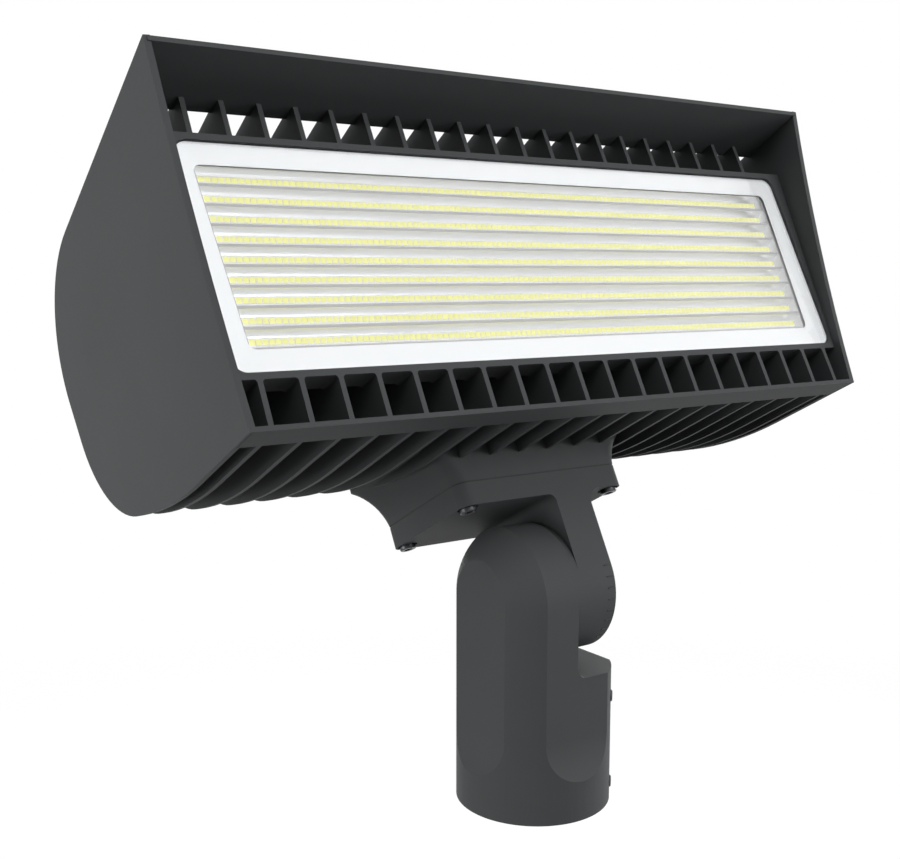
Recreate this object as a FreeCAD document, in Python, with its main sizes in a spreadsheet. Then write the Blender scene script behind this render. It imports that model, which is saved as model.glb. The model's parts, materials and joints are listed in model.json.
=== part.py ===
import FreeCAD, Part
import math
import os

import Sketcher

# LED flood light on an adjustable slipfitter, in millimetres and degrees.
# World frame: the origin is the centre of the tenon bore's mouth, X runs along the head and Z up.
# The light looks towards -Y. Pieces of the head are drawn in the head frame, whose origin lies on the
# tilt axis: Y runs to the back of the head, Z up along the lens, and "ahead" means towards -Y.

SIZES = {
    # Rest pose
    "aim_angle": 28.0,
    # Outline of the head casting
    "floor_width": 364.2,
    "plate_flare": 5.05,
    "plate_thick": 3.0,
    "pad_drop": 11.5,
    "lip_ahead": 93.9,
    "visor_ahead": 114.1,
    "back_reach": 74.4,
    "top_slope": 5.9,
    "crown_radius": 65.0,
    "belly_radius": 250.0,
    "heel_radius": 55.0,
    "heel_rise": 62.7,
    "front_hollow_radius": 1200.0,
    "visor_depth": 38.3,
    "visor_thick": 2.4,
    "lip_depth": 16.6,
    "lip_thick": 2.2,
    # Fins
    "fin_pitch": 18.0,
    "fin_thick": 2.4,
    "fin_end_gap": 10.0,
    "fin_root_radius": 1.5,
    "grille_ahead": 84.2,
    "lower_grille_height": 22.6,
    "upper_grille_height": 23.9,
    # Lens tray and driver chamber
    "rim_ahead": 91.0,
    "lens_height": 105.0,
    "lens_side_wall": 3.8,
    "lens_flare": 1.35,
    "lens_corner": 6.0,
    "tray_sole": 3.0,
    "tray_sole_bevel": 8.8,
    "tray_brow": 6.8,
    "brow_bevel_foot": 3.0,
    "shelf_width": 3.3,
    "ledge_width": 8.0,
    "ledge_thick": 7.6,
    "chamber_back": 24.0,
    "chamber_slope": 24.0,
    "chamber_drop": 14.0,
    "core_wall": 4.5,
    # Light engine
    "glass_sunk": 1.0,
    "glass_thick": 4.0,
    "glass_clearance": 0.4,
    "gasket_thick": 1.2,
    "engine_clearance": 0.5,
    "reflector_depth": 4.0,
    "reflector_clearance": 0.3,
    "window_side": 5.5,
    "window_sill": 9.3,
    "window_head": 4.9,
    "row_count": 9,
    "row_divider": 1.3,
    "row_sill": 2.3,
    "row_slot": 3.4,
    "trough_radius": 5.0,
    "led_height": 2.8,
    "led_thick": 0.7,
    "board_thick": 1.6,
    "board_margin": 3.0,
    "spreader_thick": 3.0,
    "thermal_pad_thick": 0.8,
    "plate_screw_radius": 2.0,
    "plate_screw_head": 3.0,
    "plate_screw_length": 6.4,
    "plate_screw_columns": 4,
    "plate_screw_inset": 4.2,
    # Driver
    "driver_length": 220.0,
    "driver_room": 3.0,
    "driver_depth": 40.0,
    "driver_round": 4.0,
    "driver_tab": 12.0,
    "driver_tab_thick": 2.5,
    "driver_pad_thick": 1.5,
    "driver_screw_radius": 2.0,
    "driver_screw_head": 3.8,
    "driver_screw_head_thick": 2.6,
    "driver_screw_bite": 3.5,
    "vent_radius": 6.0,
    "vent_height": 5.0,
    "vent_stem_radius": 4.0,
    # Bracket and the pad that it bolts to
    "bracket_width": 103.0,
    "bracket_ahead": 33.0,
    "bracket_back": 40.0,
    "bracket_corner": 6.5,
    "bracket_clearance": 5.7,
    "bracket_thick": 11.3,
    "bracket_gasket_thick": 0.8,
    "flank_radius": 28.6,
    "flank_lead": 6.1,
    "flank_rise": 20.5,
    "flank_steps": 4,
    "bracket_screw_side": 6.3,
    "bracket_screw_front": 6.6,
    "bracket_screw_rear": 6.6,
    "bracket_screw_radius": 2.5,
    "bracket_screw_head": 4.3,
    "bracket_screw_head_thick": 3.3,
    "bracket_screw_bite": 14.0,
    "washer_thick": 1.0,
    "washer_radius": 5.0,
    "counterbore_radius": 5.3,
    "counterbore_depth": 2.2,
    "screw_clearance": 0.3,
    "thread_gap": 0.05,
    # Leg and knuckle
    "leg_inner": 4.0,
    "leg_outer": 25.7,
    "knuckle_radius": 33.0,
    "knuckle_gap": 0.3,
    "leg_inner_fillet": 4.0,
    "leg_outer_fillet": 8.0,
    "bolt_radius": 6.0,
    "bolt_fit": 0.05,
    "bolt_head_radius": 10.0,
    "bolt_head_thick": 7.5,
    "bolt_bite": 24.0,
    "bolt_washer_radius": 12.5,
    "bolt_washer_thick": 2.0,
    "lock_washer_radius": 10.5,
    "lock_washer_thick": 2.5,
    "bolt_recess_margin": 1.5,
    "bolt_recess_depth": 8.0,
    "seat_gap": 0.2,
    "wireway_wall": 4.0,
    "wireway_width": 12.0,
    "wireway_depth": 10.0,
    "wire_hole_radius": 5.0,
    "wire_hole_wall": 1.0,
    "seal_land": 2.0,
    "seal_width": 4.0,
    "seal_depth": 2.0,
    "grommet_radius": 9.0,
    "grommet_flange": 11.5,
    "grommet_flange_thick": 1.5,
    # Slipfitter
    "bore_radius": 31.0,
    "bore_depth": 62.0,
    "bore_roof": 8.0,
    "slip_wall": 8.6,
    "flat_wall": 3.3,
    "flat_start": 40.0,
    "flat_runout_radius": 40.4,
    "ledge_clearance": 5.0,
    "ledge_fillet": 6.0,
    "set_screw_radius": 3.0,
    "set_screw_low": 9.0,
    "set_screw_drop": 7.5,
    "set_screw_turn": 45.0,
    "set_screw_proud": 0.8,
    "set_screw_tip_gap": 0.4,
    # Cutters reach this far past what they cut
    "overcut": 2.0,
}

doc = FreeCAD.newDocument("FloodLight")
sheet = doc.addObject("Spreadsheet::Sheet", "Sizes")
for row, (alias, number) in enumerate(SIZES.items(), start=1):
    sheet.set(f"A{row}", alias)
    sheet.set(f"B{row}", str(number))
    sheet.setAlias(f"B{row}", alias)
doc.recompute()


class Size:
    """A length or angle: its value now, and the expression that ties it to the sheet."""

    def __init__(self, text, value):
        self.text = text
        self.value = value

    def __add__(self, other):
        other = as_size(other)
        return Size(f"({self.text} + {other.text})", self.value + other.value)

    def __sub__(self, other):
        other = as_size(other)
        return Size(f"({self.text} - {other.text})", self.value - other.value)

    def __mul__(self, other):
        other = as_size(other)
        return Size(f"({self.text} * {other.text})", self.value * other.value)

    def __truediv__(self, other):
        other = as_size(other)
        return Size(f"({self.text} / {other.text})", self.value / other.value)

    def __neg__(self):
        return Size(f"(-{self.text})", -self.value)


def as_size(number):
    return number if isinstance(number, Size) else Size(str(number), float(number))


def size(alias):
    return Size(f"Sizes.{alias}", float(sheet.get(alias)))


def sine(angle):
    return Size(f"sin({angle.text})", math.sin(math.radians(angle.value)))


def cosine(angle):
    return Size(f"cos({angle.text})", math.cos(math.radians(angle.value)))


def tangent(angle):
    return Size(f"tan({angle.text})", math.tan(math.radians(angle.value)))


def root(number):
    return Size(f"sqrt({number.text})", math.sqrt(number.value))


def whole(number):
    return Size(f"floor({number.text})", math.floor(number.value))


ZERO = as_size(0)


def new_body(label):
    body = doc.addObject("PartDesign::Body", label)
    body.Label = label
    return body


def origin_feature(body, role):
    for feature in body.Origin.OriginFeatures:
        if feature.Role == role:
            return feature
    raise ValueError(role)


def bind(feature, name, amount):
    feature.setExpression(name, as_size(amount).text)


def new_sketch(body, name, plane, level=ZERO, lift=ZERO, turn_axis=None, turn=ZERO):
    """A sketch on an origin plane, moved along its normal by level, along its own Y by lift and turned."""
    sketch = body.newObject("Sketcher::SketchObject", name)
    sketch.AttachmentSupport = (origin_feature(body, plane), "")
    sketch.MapMode = "FlatFace"
    axis = turn_axis or FreeCAD.Vector(1, 0, 0)
    sketch.AttachmentOffset = FreeCAD.Placement(
        FreeCAD.Vector(0, lift.value, level.value), FreeCAD.Rotation(axis, turn.value)
    )
    bind(sketch, "AttachmentOffset.Base.z", level)
    bind(sketch, "AttachmentOffset.Base.y", lift)
    if turn_axis is not None:
        bind(sketch, "AttachmentOffset.Rotation.Angle", turn)
    return sketch


def pin_point(sketch, geometry, end, point):
    """Hold one end of a sketch element at a place given by two sizes."""
    for kind, amount in zip(("DistanceX", "DistanceY"), point):
        index = sketch.addConstraint(Sketcher.Constraint(kind, -1, 1, geometry, end, amount.value))
        sketch.setExpression(f"Constraints[{index}]", amount.text)


def pin_radius(sketch, geometry, radius):
    index = sketch.addConstraint(Sketcher.Constraint("Radius", geometry, radius.value))
    sketch.setExpression(f"Constraints[{index}]", radius.text)


def arc_between(start, end, radius, left):
    """The short arc from start to end that turns left (or right), and whether it is stored reversed."""
    chord = end - start
    rise = math.sqrt(max(radius ** 2 - chord.Length ** 2 / 4.0, 0.0))
    side = FreeCAD.Vector(-chord.y, chord.x, 0).normalize() * (rise if left else -rise)
    centre = (start + end) * 0.5 + side
    first, last = (start, end) if left else (end, start)
    begin = math.atan2(first.y - centre.y, first.x - centre.x)
    finish = math.atan2(last.y - centre.y, last.x - centre.x)
    if finish < begin:
        finish += 2.0 * math.pi
    return Part.ArcOfCircle(Part.Circle(centre, FreeCAD.Vector(0, 0, 1), radius), begin, finish)


def outline(sketch, points, arcs=None):
    """A closed outline through points. arcs gives (radius, turns left) for the stretch after a point."""
    arcs = arcs or {}
    points = [(as_size(across), as_size(up)) for across, up in points]
    places = [FreeCAD.Vector(across.value, up.value, 0) for across, up in points]
    ends = []
    for index, start in enumerate(places):
        finish = places[(index + 1) % len(places)]
        if index in arcs:
            radius, left = arcs[index]
            geometry = sketch.addGeometry(arc_between(start, finish, radius.value, left))
            ends.append((geometry, 1, 2) if left else (geometry, 2, 1))
        else:
            geometry = sketch.addGeometry(Part.LineSegment(start, finish))
            ends.append((geometry, 1, 2))
    for index, (geometry, first, last) in enumerate(ends):
        following, following_first, _ = ends[(index + 1) % len(ends)]
        sketch.addConstraint(Sketcher.Constraint("Coincident", geometry, last, following, following_first))
        pin_point(sketch, geometry, first, points[index])
        if index in arcs:
            pin_radius(sketch, geometry, arcs[index][0])


def circle(sketch, across, up, radius):
    across, up = as_size(across), as_size(up)
    centre = FreeCAD.Vector(across.value, up.value, 0)
    geometry = sketch.addGeometry(Part.Circle(centre, FreeCAD.Vector(0, 0, 1), radius.value))
    pin_point(sketch, geometry, 3, (across, up))
    pin_radius(sketch, geometry, radius)


def rectangle(sketch, left, right, low, high):
    outline(sketch, [(left, low), (right, low), (right, high), (left, high)])


def round_rectangle(sketch, left, right, low, high, radius):
    points = [
        (left + radius, low), (right - radius, low),
        (right, low + radius), (right, high - radius),
        (right - radius, high), (left + radius, high),
        (left, high - radius), (left, low + radius),
    ]
    outline(sketch, points, {index: (radius, True) for index in (1, 3, 5, 7)})


def round_trapezoid(sketch, half_low, half_high, low, high, lean, radius):
    """A symmetric outline, wider at the top, whose sides lean out by an angle and whose corners are round."""
    low_run = radius * tangent(as_size(45) - lean / 2)
    high_run = radius * tangent(as_size(45) + lean / 2)
    across, up = sine(lean), cosine(lean)
    right = [
        (half_low - low_run, low), (half_low + low_run * across, low + low_run * up),
        (half_high - high_run * across, high - high_run * up), (half_high - high_run, high),
    ]
    left = [(-x, z) for x, z in reversed(right)]
    outline(sketch, right + left, {index: (radius, True) for index in (0, 2, 4, 6)})


def extrude(body, kind, name, sketch, length, both=False, back=False):
    feature = body.newObject(f"PartDesign::{kind}", name)
    feature.Profile = sketch
    feature.SideType = "Symmetric" if both else "One side"
    feature.Reversed = back
    bind(feature, "Length", length)
    return feature


def pad(body, name, sketch, length, both=False, back=False):
    return extrude(body, "Pad", name, sketch, length, both, back)


def pocket(body, name, sketch, length, both=False, back=False):
    """A cut that has to take some of the body away."""
    doc.recompute()
    before = body.Shape.Volume
    feature = extrude(body, "Pocket", name, sketch, length, both, back)
    doc.recompute()
    if body.Shape.Volume > before - 1e-3:
        raise ValueError(f"{body.Label}: {name} cuts nothing")
    return feature


def row_of(body, name, originals, axis, count, step, second=None):
    """A linear pattern, with a second direction where one is given."""
    pattern = body.newObject("PartDesign::LinearPattern", name)
    pattern.Originals = originals
    pattern.Direction = (origin_feature(body, axis), [""])
    bind(pattern, "Occurrences", count)
    bind(pattern, "Length", step * (count - 1))
    if second is not None:
        second_axis, second_count, second_step = second
        pattern.Direction2 = (origin_feature(body, second_axis), [""])
        bind(pattern, "Occurrences2", second_count)
        bind(pattern, "Length2", second_step * (second_count - 1))
    body.Tip = pattern
    return pattern


def mirror(body, name, originals, plane):
    copy = body.newObject("PartDesign::Mirrored", name)
    copy.Originals = originals
    copy.MirrorPlane = (origin_feature(body, plane), [""])
    body.Tip = copy
    return copy


def turned(body, name, sketch, axis):
    """A full revolution of a sketch about one of the sketch's own axes."""
    feature = body.newObject("PartDesign::Revolution", name)
    feature.Profile = sketch
    feature.ReferenceAxis = (sketch, [axis])
    feature.Angle = 360.0
    return feature


def fillet(body, name, base, edges, radius):
    feature = body.newObject("PartDesign::Fillet", name)
    feature.Base = (base, edges)
    bind(feature, "Radius", radius)
    body.Tip = feature
    return feature


def edges_where(feature, test):
    """Names of a feature's edges whose two end points and middle all pass a test."""
    doc.recompute()
    names = []
    for index, edge in enumerate(feature.Shape.Edges, start=1):
        first, last = edge.ParameterRange
        if all(test(edge.valueAt(first + share * (last - first))) for share in (0.0, 0.5, 1.0)):
            names.append(f"Edge{index}")
    if not names:
        raise ValueError(f"{feature.Name}: no edge to round")
    return names


def near(value, amount):
    return abs(value - amount.value) < 1e-3


def in_head(body):
    """Hang a body that is drawn in the head frame on the tilt axis, at the rest aim."""
    body.Placement = FreeCAD.Placement(
        FreeCAD.Vector(0, 0, PIVOT.value), FreeCAD.Rotation(FreeCAD.Vector(-1, 0, 0), AIM.value)
    )
    bind(body, "Placement.Base.z", PIVOT)
    bind(body, "Placement.Rotation.Angle", AIM)
    return body


# Levels and reaches that several pieces share, in the order in which they stack up
AIM = size("aim_angle")
OVERCUT = size("overcut")
TWO = as_size(2)
BOLT = size("bolt_radius")
THREAD_GAP = size("thread_gap")

# Slipfitter and knuckle, from the mouth of the bore up to the tilt axis
BORE_DEPTH = size("bore_depth")
SLIP_RADIUS = size("bore_radius") + size("slip_wall")
SLIP_FLAT = size("bore_radius") + size("flat_wall")
SLIP_LEDGE = BORE_DEPTH + size("bore_roof")
PIVOT = SLIP_LEDGE + size("ledge_clearance") + size("knuckle_radius")

# Bracket, in the head frame
BRACKET_HALF = size("bracket_width") / 2
BRACKET_AHEAD = size("bracket_ahead")
BRACKET_BACK = size("bracket_back")
BRACKET_LEVEL = SLIP_FLAT + size("bracket_clearance")
BRACKET_TOP = BRACKET_LEVEL + size("bracket_thick")
PAD_LEVEL = BRACKET_TOP + size("bracket_gasket_thick")
SCREW_X = BRACKET_HALF - size("bracket_screw_side")
SCREW_AHEAD = BRACKET_AHEAD - size("bracket_screw_front")
SCREW_BEHIND = BRACKET_BACK - size("bracket_screw_rear")
SCREW_DEPTH = SCREW_AHEAD + SCREW_BEHIND
LEG_INNER = size("leg_inner")
LEG_OUTER = size("leg_outer")
BOLT_SEAT = LEG_OUTER - size("bolt_recess_depth")
WIREWAY_INNER = BOLT + size("wireway_wall")
WIREWAY_OUTER = WIREWAY_INNER + size("wireway_width")
WIRE_HOLE = size("wire_hole_radius")
WIRE_X = BOLT_SEAT - size("wire_hole_wall") - WIRE_HOLE
WIRE_AHEAD = (WIREWAY_INNER + WIREWAY_OUTER) / 2
SEAL_INNER = WIREWAY_OUTER + size("seal_land")
SEAL_OUTER = SEAL_INNER + size("seal_width")

# Head casting, in the head frame
FLOOR = PAD_LEVEL + size("pad_drop")
TRAY_FLOOR = FLOOR + size("lower_grille_height")
LENS_FLOOR = TRAY_FLOOR + size("tray_sole")
LENS_TOP = LENS_FLOOR + size("lens_height")
TRAY_TOP = LENS_TOP + size("tray_brow")
TOP = TRAY_TOP + size("upper_grille_height")
FLARE = size("plate_flare")
SLOPE = size("top_slope")
PLATE_THICK = size("plate_thick")
FIN_PITCH = size("fin_pitch")
FIN_COUNT = whole((size("floor_width") - size("fin_end_gap") * 2) / FIN_PITCH) + 1
FIN_THICK = size("fin_thick")
FIRST_FIN = -FIN_PITCH * (FIN_COUNT - 1) / 2


def plate_face(level):
    """Half the width over the end plates' outer faces, at a level of the head frame."""
    return size("floor_width") / 2 + (level - FLOOR) * tangent(FLARE)


LENS_HALF = plate_face(LENS_FLOOR) - size("lens_side_wall")
LENS_FLARE = size("lens_flare")
ENGINE_FLOOR = LENS_FLOOR + size("shelf_width")
ENGINE_TOP = LENS_TOP - size("shelf_width")
ENGINE_HALF = LENS_HALF - size("shelf_width")
WINDOW_HALF = ENGINE_HALF - size("window_side")
WINDOW_FLOOR = ENGINE_FLOOR + size("window_sill")
ROW_COUNT = size("row_count")
ROW_PITCH = (ENGINE_TOP - size("window_head") - WINDOW_FLOOR) / ROW_COUNT
CHAMBER_FLOOR = ENGINE_FLOOR + size("ledge_width")
CHAMBER_TOP = ENGINE_TOP - size("ledge_width")
CHAMBER_HALF = ENGINE_HALF - size("ledge_width")
CHAMBER_BACK = size("chamber_back")

# Distances ahead of the tilt axis, from the rim of the tray back to its ledge
RIM = size("rim_ahead")
GLASS_FRONT = RIM - size("glass_sunk")
GLASS_BACK = GLASS_FRONT - size("glass_thick")
SHELF = GLASS_BACK - size("gasket_thick")
REFLECTOR_FRONT = GLASS_BACK - size("reflector_clearance")
BOARD_FRONT = REFLECTOR_FRONT - size("reflector_depth")
SPREADER_FRONT = BOARD_FRONT - size("board_thick")
SPREADER_BACK = SPREADER_FRONT - size("spreader_thick")
LEDGE = SPREADER_BACK - size("thermal_pad_thick")
TRAY_BACK = LEDGE - size("ledge_thick")


def head_outline(front):
    """The head's side outline behind a front edge, which is given from its top down.

    It runs from the foot of the front edge along the underside, up the belly and round the heel, up the
    back, round the crown and along the sloping top. The belly is an arc that meets the floor and the heel
    without a corner. Arcs follow the points that they leave.
    """
    back, crown = size("back_reach"), size("crown_radius")
    belly, heel, rise = size("belly_radius"), size("heel_radius"), size("heel_rise")
    apart, drop = belly - heel, belly - rise
    lead = root(apart * apart - drop * drop)
    corner = top_line(-back)
    run = crown * tangent(as_size(45) - SLOPE / 2)
    points = front + [
        (back - heel - lead, FLOOR),
        (back - heel + heel * lead / apart, FLOOR + rise - heel * drop / apart), (back, FLOOR + rise),
        (back, corner - run), (back - run * cosine(SLOPE), corner + run * sine(SLOPE)),
    ]
    foot = len(front)
    return points, {foot: (belly, True), foot + 1: (heel, True), foot + 3: (crown, True)}


def top_line(ahead):
    """Level of the head's sloping top at a distance ahead of the tilt axis."""
    return TOP - (size("visor_ahead") - ahead) * tangent(SLOPE)


def add_boss(body):
    """The pad for the bracket: a round-cornered outline that spreads along hollow flanks, then rises."""
    lead, radius, rise = size("flank_lead"), size("flank_radius"), size("flank_rise")
    steps = int(size("flank_steps").value)
    sketches = []
    for step in range(steps + 1):
        climb = rise * step / steps
        spread = root(radius * radius - lead * lead) - root(radius * radius - (lead + climb) * (lead + climb))
        half = BRACKET_HALF + spread
        sketch = new_sketch(body, f"flank_outline_{step}", "XY_Plane", PAD_LEVEL + climb)
        round_rectangle(sketch, -half, half, -BRACKET_AHEAD, BRACKET_BACK, size("bracket_corner"))
        sketches.append(sketch)
    flanks = body.newObject("PartDesign::AdditiveLoft", "flanks")
    flanks.Profile = sketches[0]
    flanks.Sections = sketches[1:]
    pad(body, "boss", sketches[-1], CHAMBER_FLOOR - size("core_wall") / 2 - PAD_LEVEL - rise)


def add_core(body):
    """The lens tray between the end plates, and the driver chamber behind it."""
    sketch = new_sketch(body, "tray_outline", "XZ_Plane", RIM)
    low, high = plate_face(TRAY_FLOOR) - PLATE_THICK / 2, plate_face(TRAY_TOP) - PLATE_THICK / 2
    outline(sketch, [(-low, TRAY_FLOOR), (low, TRAY_FLOOR), (high, TRAY_TOP), (-high, TRAY_TOP)])
    pad(body, "tray", sketch, RIM - TRAY_BACK, back=True)

    wall = size("core_wall")
    sketch = new_sketch(body, "core_outline", "YZ_Plane")
    outline(sketch, core_section(TRAY_BACK + OVERCUT, wall))
    pad(body, "core", sketch, (CHAMBER_HALF + wall) * 2, both=True)


def core_section(ahead, wall):
    """Section of the driver chamber, from a distance ahead of the axis to its sloping back."""
    back = CHAMBER_BACK + wall
    floor, top = CHAMBER_FLOOR - wall, CHAMBER_TOP + wall
    bend = back - size("chamber_slope")
    drop = size("chamber_drop")
    lower = [(-ahead, floor), (bend, floor), (back, floor + drop)]
    return lower + [(back, top - drop), (bend, top), (-ahead, top)]


def add_end_plates(body):
    """Two plates that follow the head's side outline and lean out towards the top."""
    stretch = cosine(FLARE)
    front = [(-size("visor_ahead"), TOP), (-size("lip_ahead"), FLOOR)]
    points, arcs = head_outline(front)
    arcs[0] = (size("front_hollow_radius"), False)
    points = [(y, (z - FLOOR) / stretch) for y, z in points]
    sketch = new_sketch(
        body, "end_plate_outline", "YZ_Plane", plate_face(FLOOR), FLOOR, FreeCAD.Vector(1, 0, 0), FLARE
    )
    outline(sketch, points, arcs)
    plate = pad(body, "end_plate", sketch, PLATE_THICK, back=True)
    mirror(body, "end_plates", [plate], "YZ_Plane")


def add_visor_and_lip(body):
    """The slab over the lens and the one under the lower grille, from end plate to end plate."""
    ahead, thick = size("visor_ahead"), size("visor_thick")
    rear = ahead - size("visor_depth")
    rear_top = top_line(rear)
    sketch = new_sketch(body, "visor_section", "YZ_Plane")
    outline(sketch, [(-ahead, TOP), (-ahead, TOP - thick), (-rear, rear_top - thick), (-rear, rear_top)])
    pad(body, "visor", sketch, (plate_face(TOP - thick) - PLATE_THICK / 2) * 2, both=True)

    lip = size("lip_ahead")
    sketch = new_sketch(body, "lip_section", "YZ_Plane")
    rectangle(sketch, -lip, -(lip - size("lip_depth")), FLOOR, FLOOR + size("lip_thick"))
    pad(body, "lip", sketch, (plate_face(FLOOR) - PLATE_THICK / 2) * 2, both=True)


def add_fins(body):
    """Fins that reach round the tray and the chamber. Their feet on the tray flare out on both sides."""
    grille = size("grille_ahead")
    bury = size("core_wall") / 2
    behind_tray = TRAY_BACK + size("ledge_thick") / 2
    sole, brow = TRAY_FLOOR + size("tray_sole") / 2, TRAY_TOP - size("tray_sole") / 2
    core = core_section(behind_tray, bury)
    bevel = size("tray_sole_bevel")
    front = [(-grille, top_line(grille)), (-grille, brow), (-behind_tray, brow)]
    front += reversed(core)
    front += [
        (-behind_tray, TRAY_FLOOR + bevel), (-TRAY_BACK - bevel, sole), (-RIM, sole), (-RIM, FLOOR),
    ]
    points, arcs = head_outline(front)
    sketch = new_sketch(body, "fin_outline", "YZ_Plane", FIRST_FIN - FIN_THICK / 2)
    outline(sketch, points, arcs)
    fin = pad(body, "fin", sketch, FIN_THICK)

    radius = size("fin_root_radius")
    half = FIN_THICK / 2
    feet = []
    for name, ahead, level, up in (("upper_foot", grille, TRAY_TOP, 1), ("lower_foot", RIM, TRAY_FLOOR, -1)):
        sketch = new_sketch(body, f"{name}_section", "XZ_Plane", ahead)
        sunk, tip = level - size("tray_sole") / 2 * up, level + radius * up
        outline(sketch, [
            (FIRST_FIN - half - radius, sunk), (FIRST_FIN + half + radius, sunk),
            (FIRST_FIN + half + radius, level), (FIRST_FIN + half, tip),
            (FIRST_FIN - half, tip), (FIRST_FIN - half - radius, level),
        ], {2: (radius, up < 0), 4: (radius, up < 0)})
        feet.append(pad(body, name, sketch, ahead - TRAY_BACK - bevel, back=True))
    row_of(body, "fins", [fin] + feet, "X_Axis", FIN_COUNT, FIN_PITCH)


def cut_tray(body):
    """Bevel the tray's sole and brow, then open the lens seat, the light engine's recess and the chamber."""
    across = plate_face(TOP) * 2
    bevel = size("tray_sole_bevel")
    sketch = new_sketch(body, "sole_section", "YZ_Plane")
    outline(sketch, [
        (-TRAY_BACK - bevel, TRAY_FLOOR), (-TRAY_BACK, TRAY_FLOOR), (-TRAY_BACK, TRAY_FLOOR + bevel),
    ])
    pocket(body, "sole", sketch, across, both=True)

    grille = size("grille_ahead")
    bevel_foot = LENS_TOP + size("brow_bevel_foot")
    sketch = new_sketch(body, "brow_section", "YZ_Plane")
    clear = RIM + OVERCUT
    outline(sketch, [(-grille, TRAY_TOP), (-clear, TRAY_TOP), (-clear, bevel_foot), (-RIM, bevel_foot)])
    pocket(body, "brow", sketch, across, both=True)

    sketch = new_sketch(body, "lens_seat_outline", "XZ_Plane", RIM + OVERCUT)
    high = LENS_HALF + size("lens_height") * tangent(LENS_FLARE)
    round_trapezoid(sketch, LENS_HALF, high, LENS_FLOOR, LENS_TOP, LENS_FLARE, size("lens_corner"))
    pocket(body, "lens_seat", sketch, RIM + OVERCUT - SHELF)

    sketch = new_sketch(body, "engine_outline", "XZ_Plane", RIM + OVERCUT)
    rectangle(sketch, -ENGINE_HALF, ENGINE_HALF, ENGINE_FLOOR, ENGINE_TOP)
    pocket(body, "engine_recess", sketch, RIM + OVERCUT - LEDGE)

    sketch = new_sketch(body, "chamber_section", "YZ_Plane")
    outline(sketch, core_section(LEDGE + OVERCUT, ZERO))
    pocket(body, "chamber", sketch, CHAMBER_HALF * 2, both=True)


def cut_inner_holes(body):
    """Holes in the ledge for the spreader plate, and in the back wall for the driver and the vent."""
    sketch = new_sketch(body, "plate_hole", "XZ_Plane", LEDGE)
    circle(sketch, -PLATE_SCREW_X, PLATE_SCREW_LOW, size("plate_screw_radius") + THREAD_GAP)
    hole = pocket(body, "plate_screw_hole", sketch, PLATE_SCREW_BITE + size("seat_gap"))
    plate_screw_pattern(body, "plate_screw_holes", hole)

    sketch = new_sketch(body, "driver_hole", "XZ_Plane", -CHAMBER_BACK)
    for side in (-1, 1):
        circle(sketch, DRIVER_SCREW_X * side, CHAMBER_MIDDLE, size("driver_screw_radius") + THREAD_GAP)
    pocket(body, "driver_screw_holes", sketch, size("driver_screw_bite"))

    sketch = new_sketch(body, "vent_hole_outline", "XZ_Plane", -CHAMBER_BACK + OVERCUT)
    circle(sketch, VENT_X, CHAMBER_MIDDLE, size("vent_stem_radius") + THREAD_GAP)
    pocket(body, "vent_hole", sketch, size("core_wall") + OVERCUT * 2)


def cut_pad_holes(body):
    """Tapped holes for the bracket's screws, and the wire hole up into the chamber."""
    sketch = new_sketch(body, "bracket_hole", "XY_Plane", PAD_LEVEL)
    circle(sketch, -SCREW_X, -SCREW_AHEAD, size("bracket_screw_radius") + THREAD_GAP)
    hole = pocket(body, "bracket_screw_hole", sketch, size("bracket_screw_bite"), back=True)
    row_of(body, "bracket_screw_holes", [hole], "X_Axis", TWO, SCREW_X * 2, ("Y_Axis", TWO, SCREW_DEPTH))

    sketch = new_sketch(body, "wire_hole_outline", "XY_Plane", PAD_LEVEL)
    circle(sketch, WIRE_X, -WIRE_AHEAD, size("grommet_radius") + THREAD_GAP)
    pocket(body, "wire_hole", sketch, CHAMBER_FLOOR + OVERCUT - PAD_LEVEL, back=True)


# Places of the inner fasteners, in the head frame
CHAMBER_MIDDLE = (CHAMBER_FLOOR + CHAMBER_TOP) / 2
VENT_X = FIRST_FIN + FIN_PITCH * whole(FIN_COUNT / 2) - FIN_PITCH / 2
PLATE_SCREW_COLUMNS = size("plate_screw_columns")
PLATE_SCREW_X = CHAMBER_HALF
PLATE_SCREW_STEP = PLATE_SCREW_X * 2 / (PLATE_SCREW_COLUMNS - 1)
PLATE_SCREW_LOW = ENGINE_FLOOR + size("plate_screw_inset")
PLATE_SCREW_HIGH = ENGINE_TOP - size("plate_screw_inset")
PLATE_SCREW_BITE = size("plate_screw_length") - size("spreader_thick") - size("thermal_pad_thick")
DRIVER_BASE = CHAMBER_BACK - size("driver_pad_thick")
DRIVER_RISE = CHAMBER_TOP - CHAMBER_MIDDLE - size("chamber_drop") - size("driver_room")
DRIVER_SCREW_X = size("driver_length") / 2 + size("driver_tab") / 2
DRIVER_SCREW_HOLE = size("driver_screw_radius") + size("screw_clearance")


def make_housing():
    """The head casting: pad, tray, chamber, end plates, visor, lip and fins in one piece of aluminium."""
    body = new_body("housing")
    add_boss(body)
    add_core(body)
    cut_tray(body)
    add_end_plates(body)
    add_visor_and_lip(body)
    add_fins(body)
    cut_inner_holes(body)
    cut_pad_holes(body)
    return in_head(body)


def make_lens_glass():
    """Tempered glass in the lens seat, with the seat's outline less a clearance all round."""
    body = new_body("lens_glass")
    gap = size("glass_clearance")
    low, high = LENS_FLOOR + gap, LENS_TOP - gap
    seat = LENS_HALF - gap / cosine(LENS_FLARE)
    sketch = new_sketch(body, "glass_outline", "XZ_Plane", GLASS_FRONT)
    half_low, half_high = (seat + (level - LENS_FLOOR) * tangent(LENS_FLARE) for level in (low, high))
    round_trapezoid(sketch, half_low, half_high, low, high, LENS_FLARE, size("lens_corner") - gap)
    pad(body, "glass", sketch, size("glass_thick"), back=True)
    return in_head(body)


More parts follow.
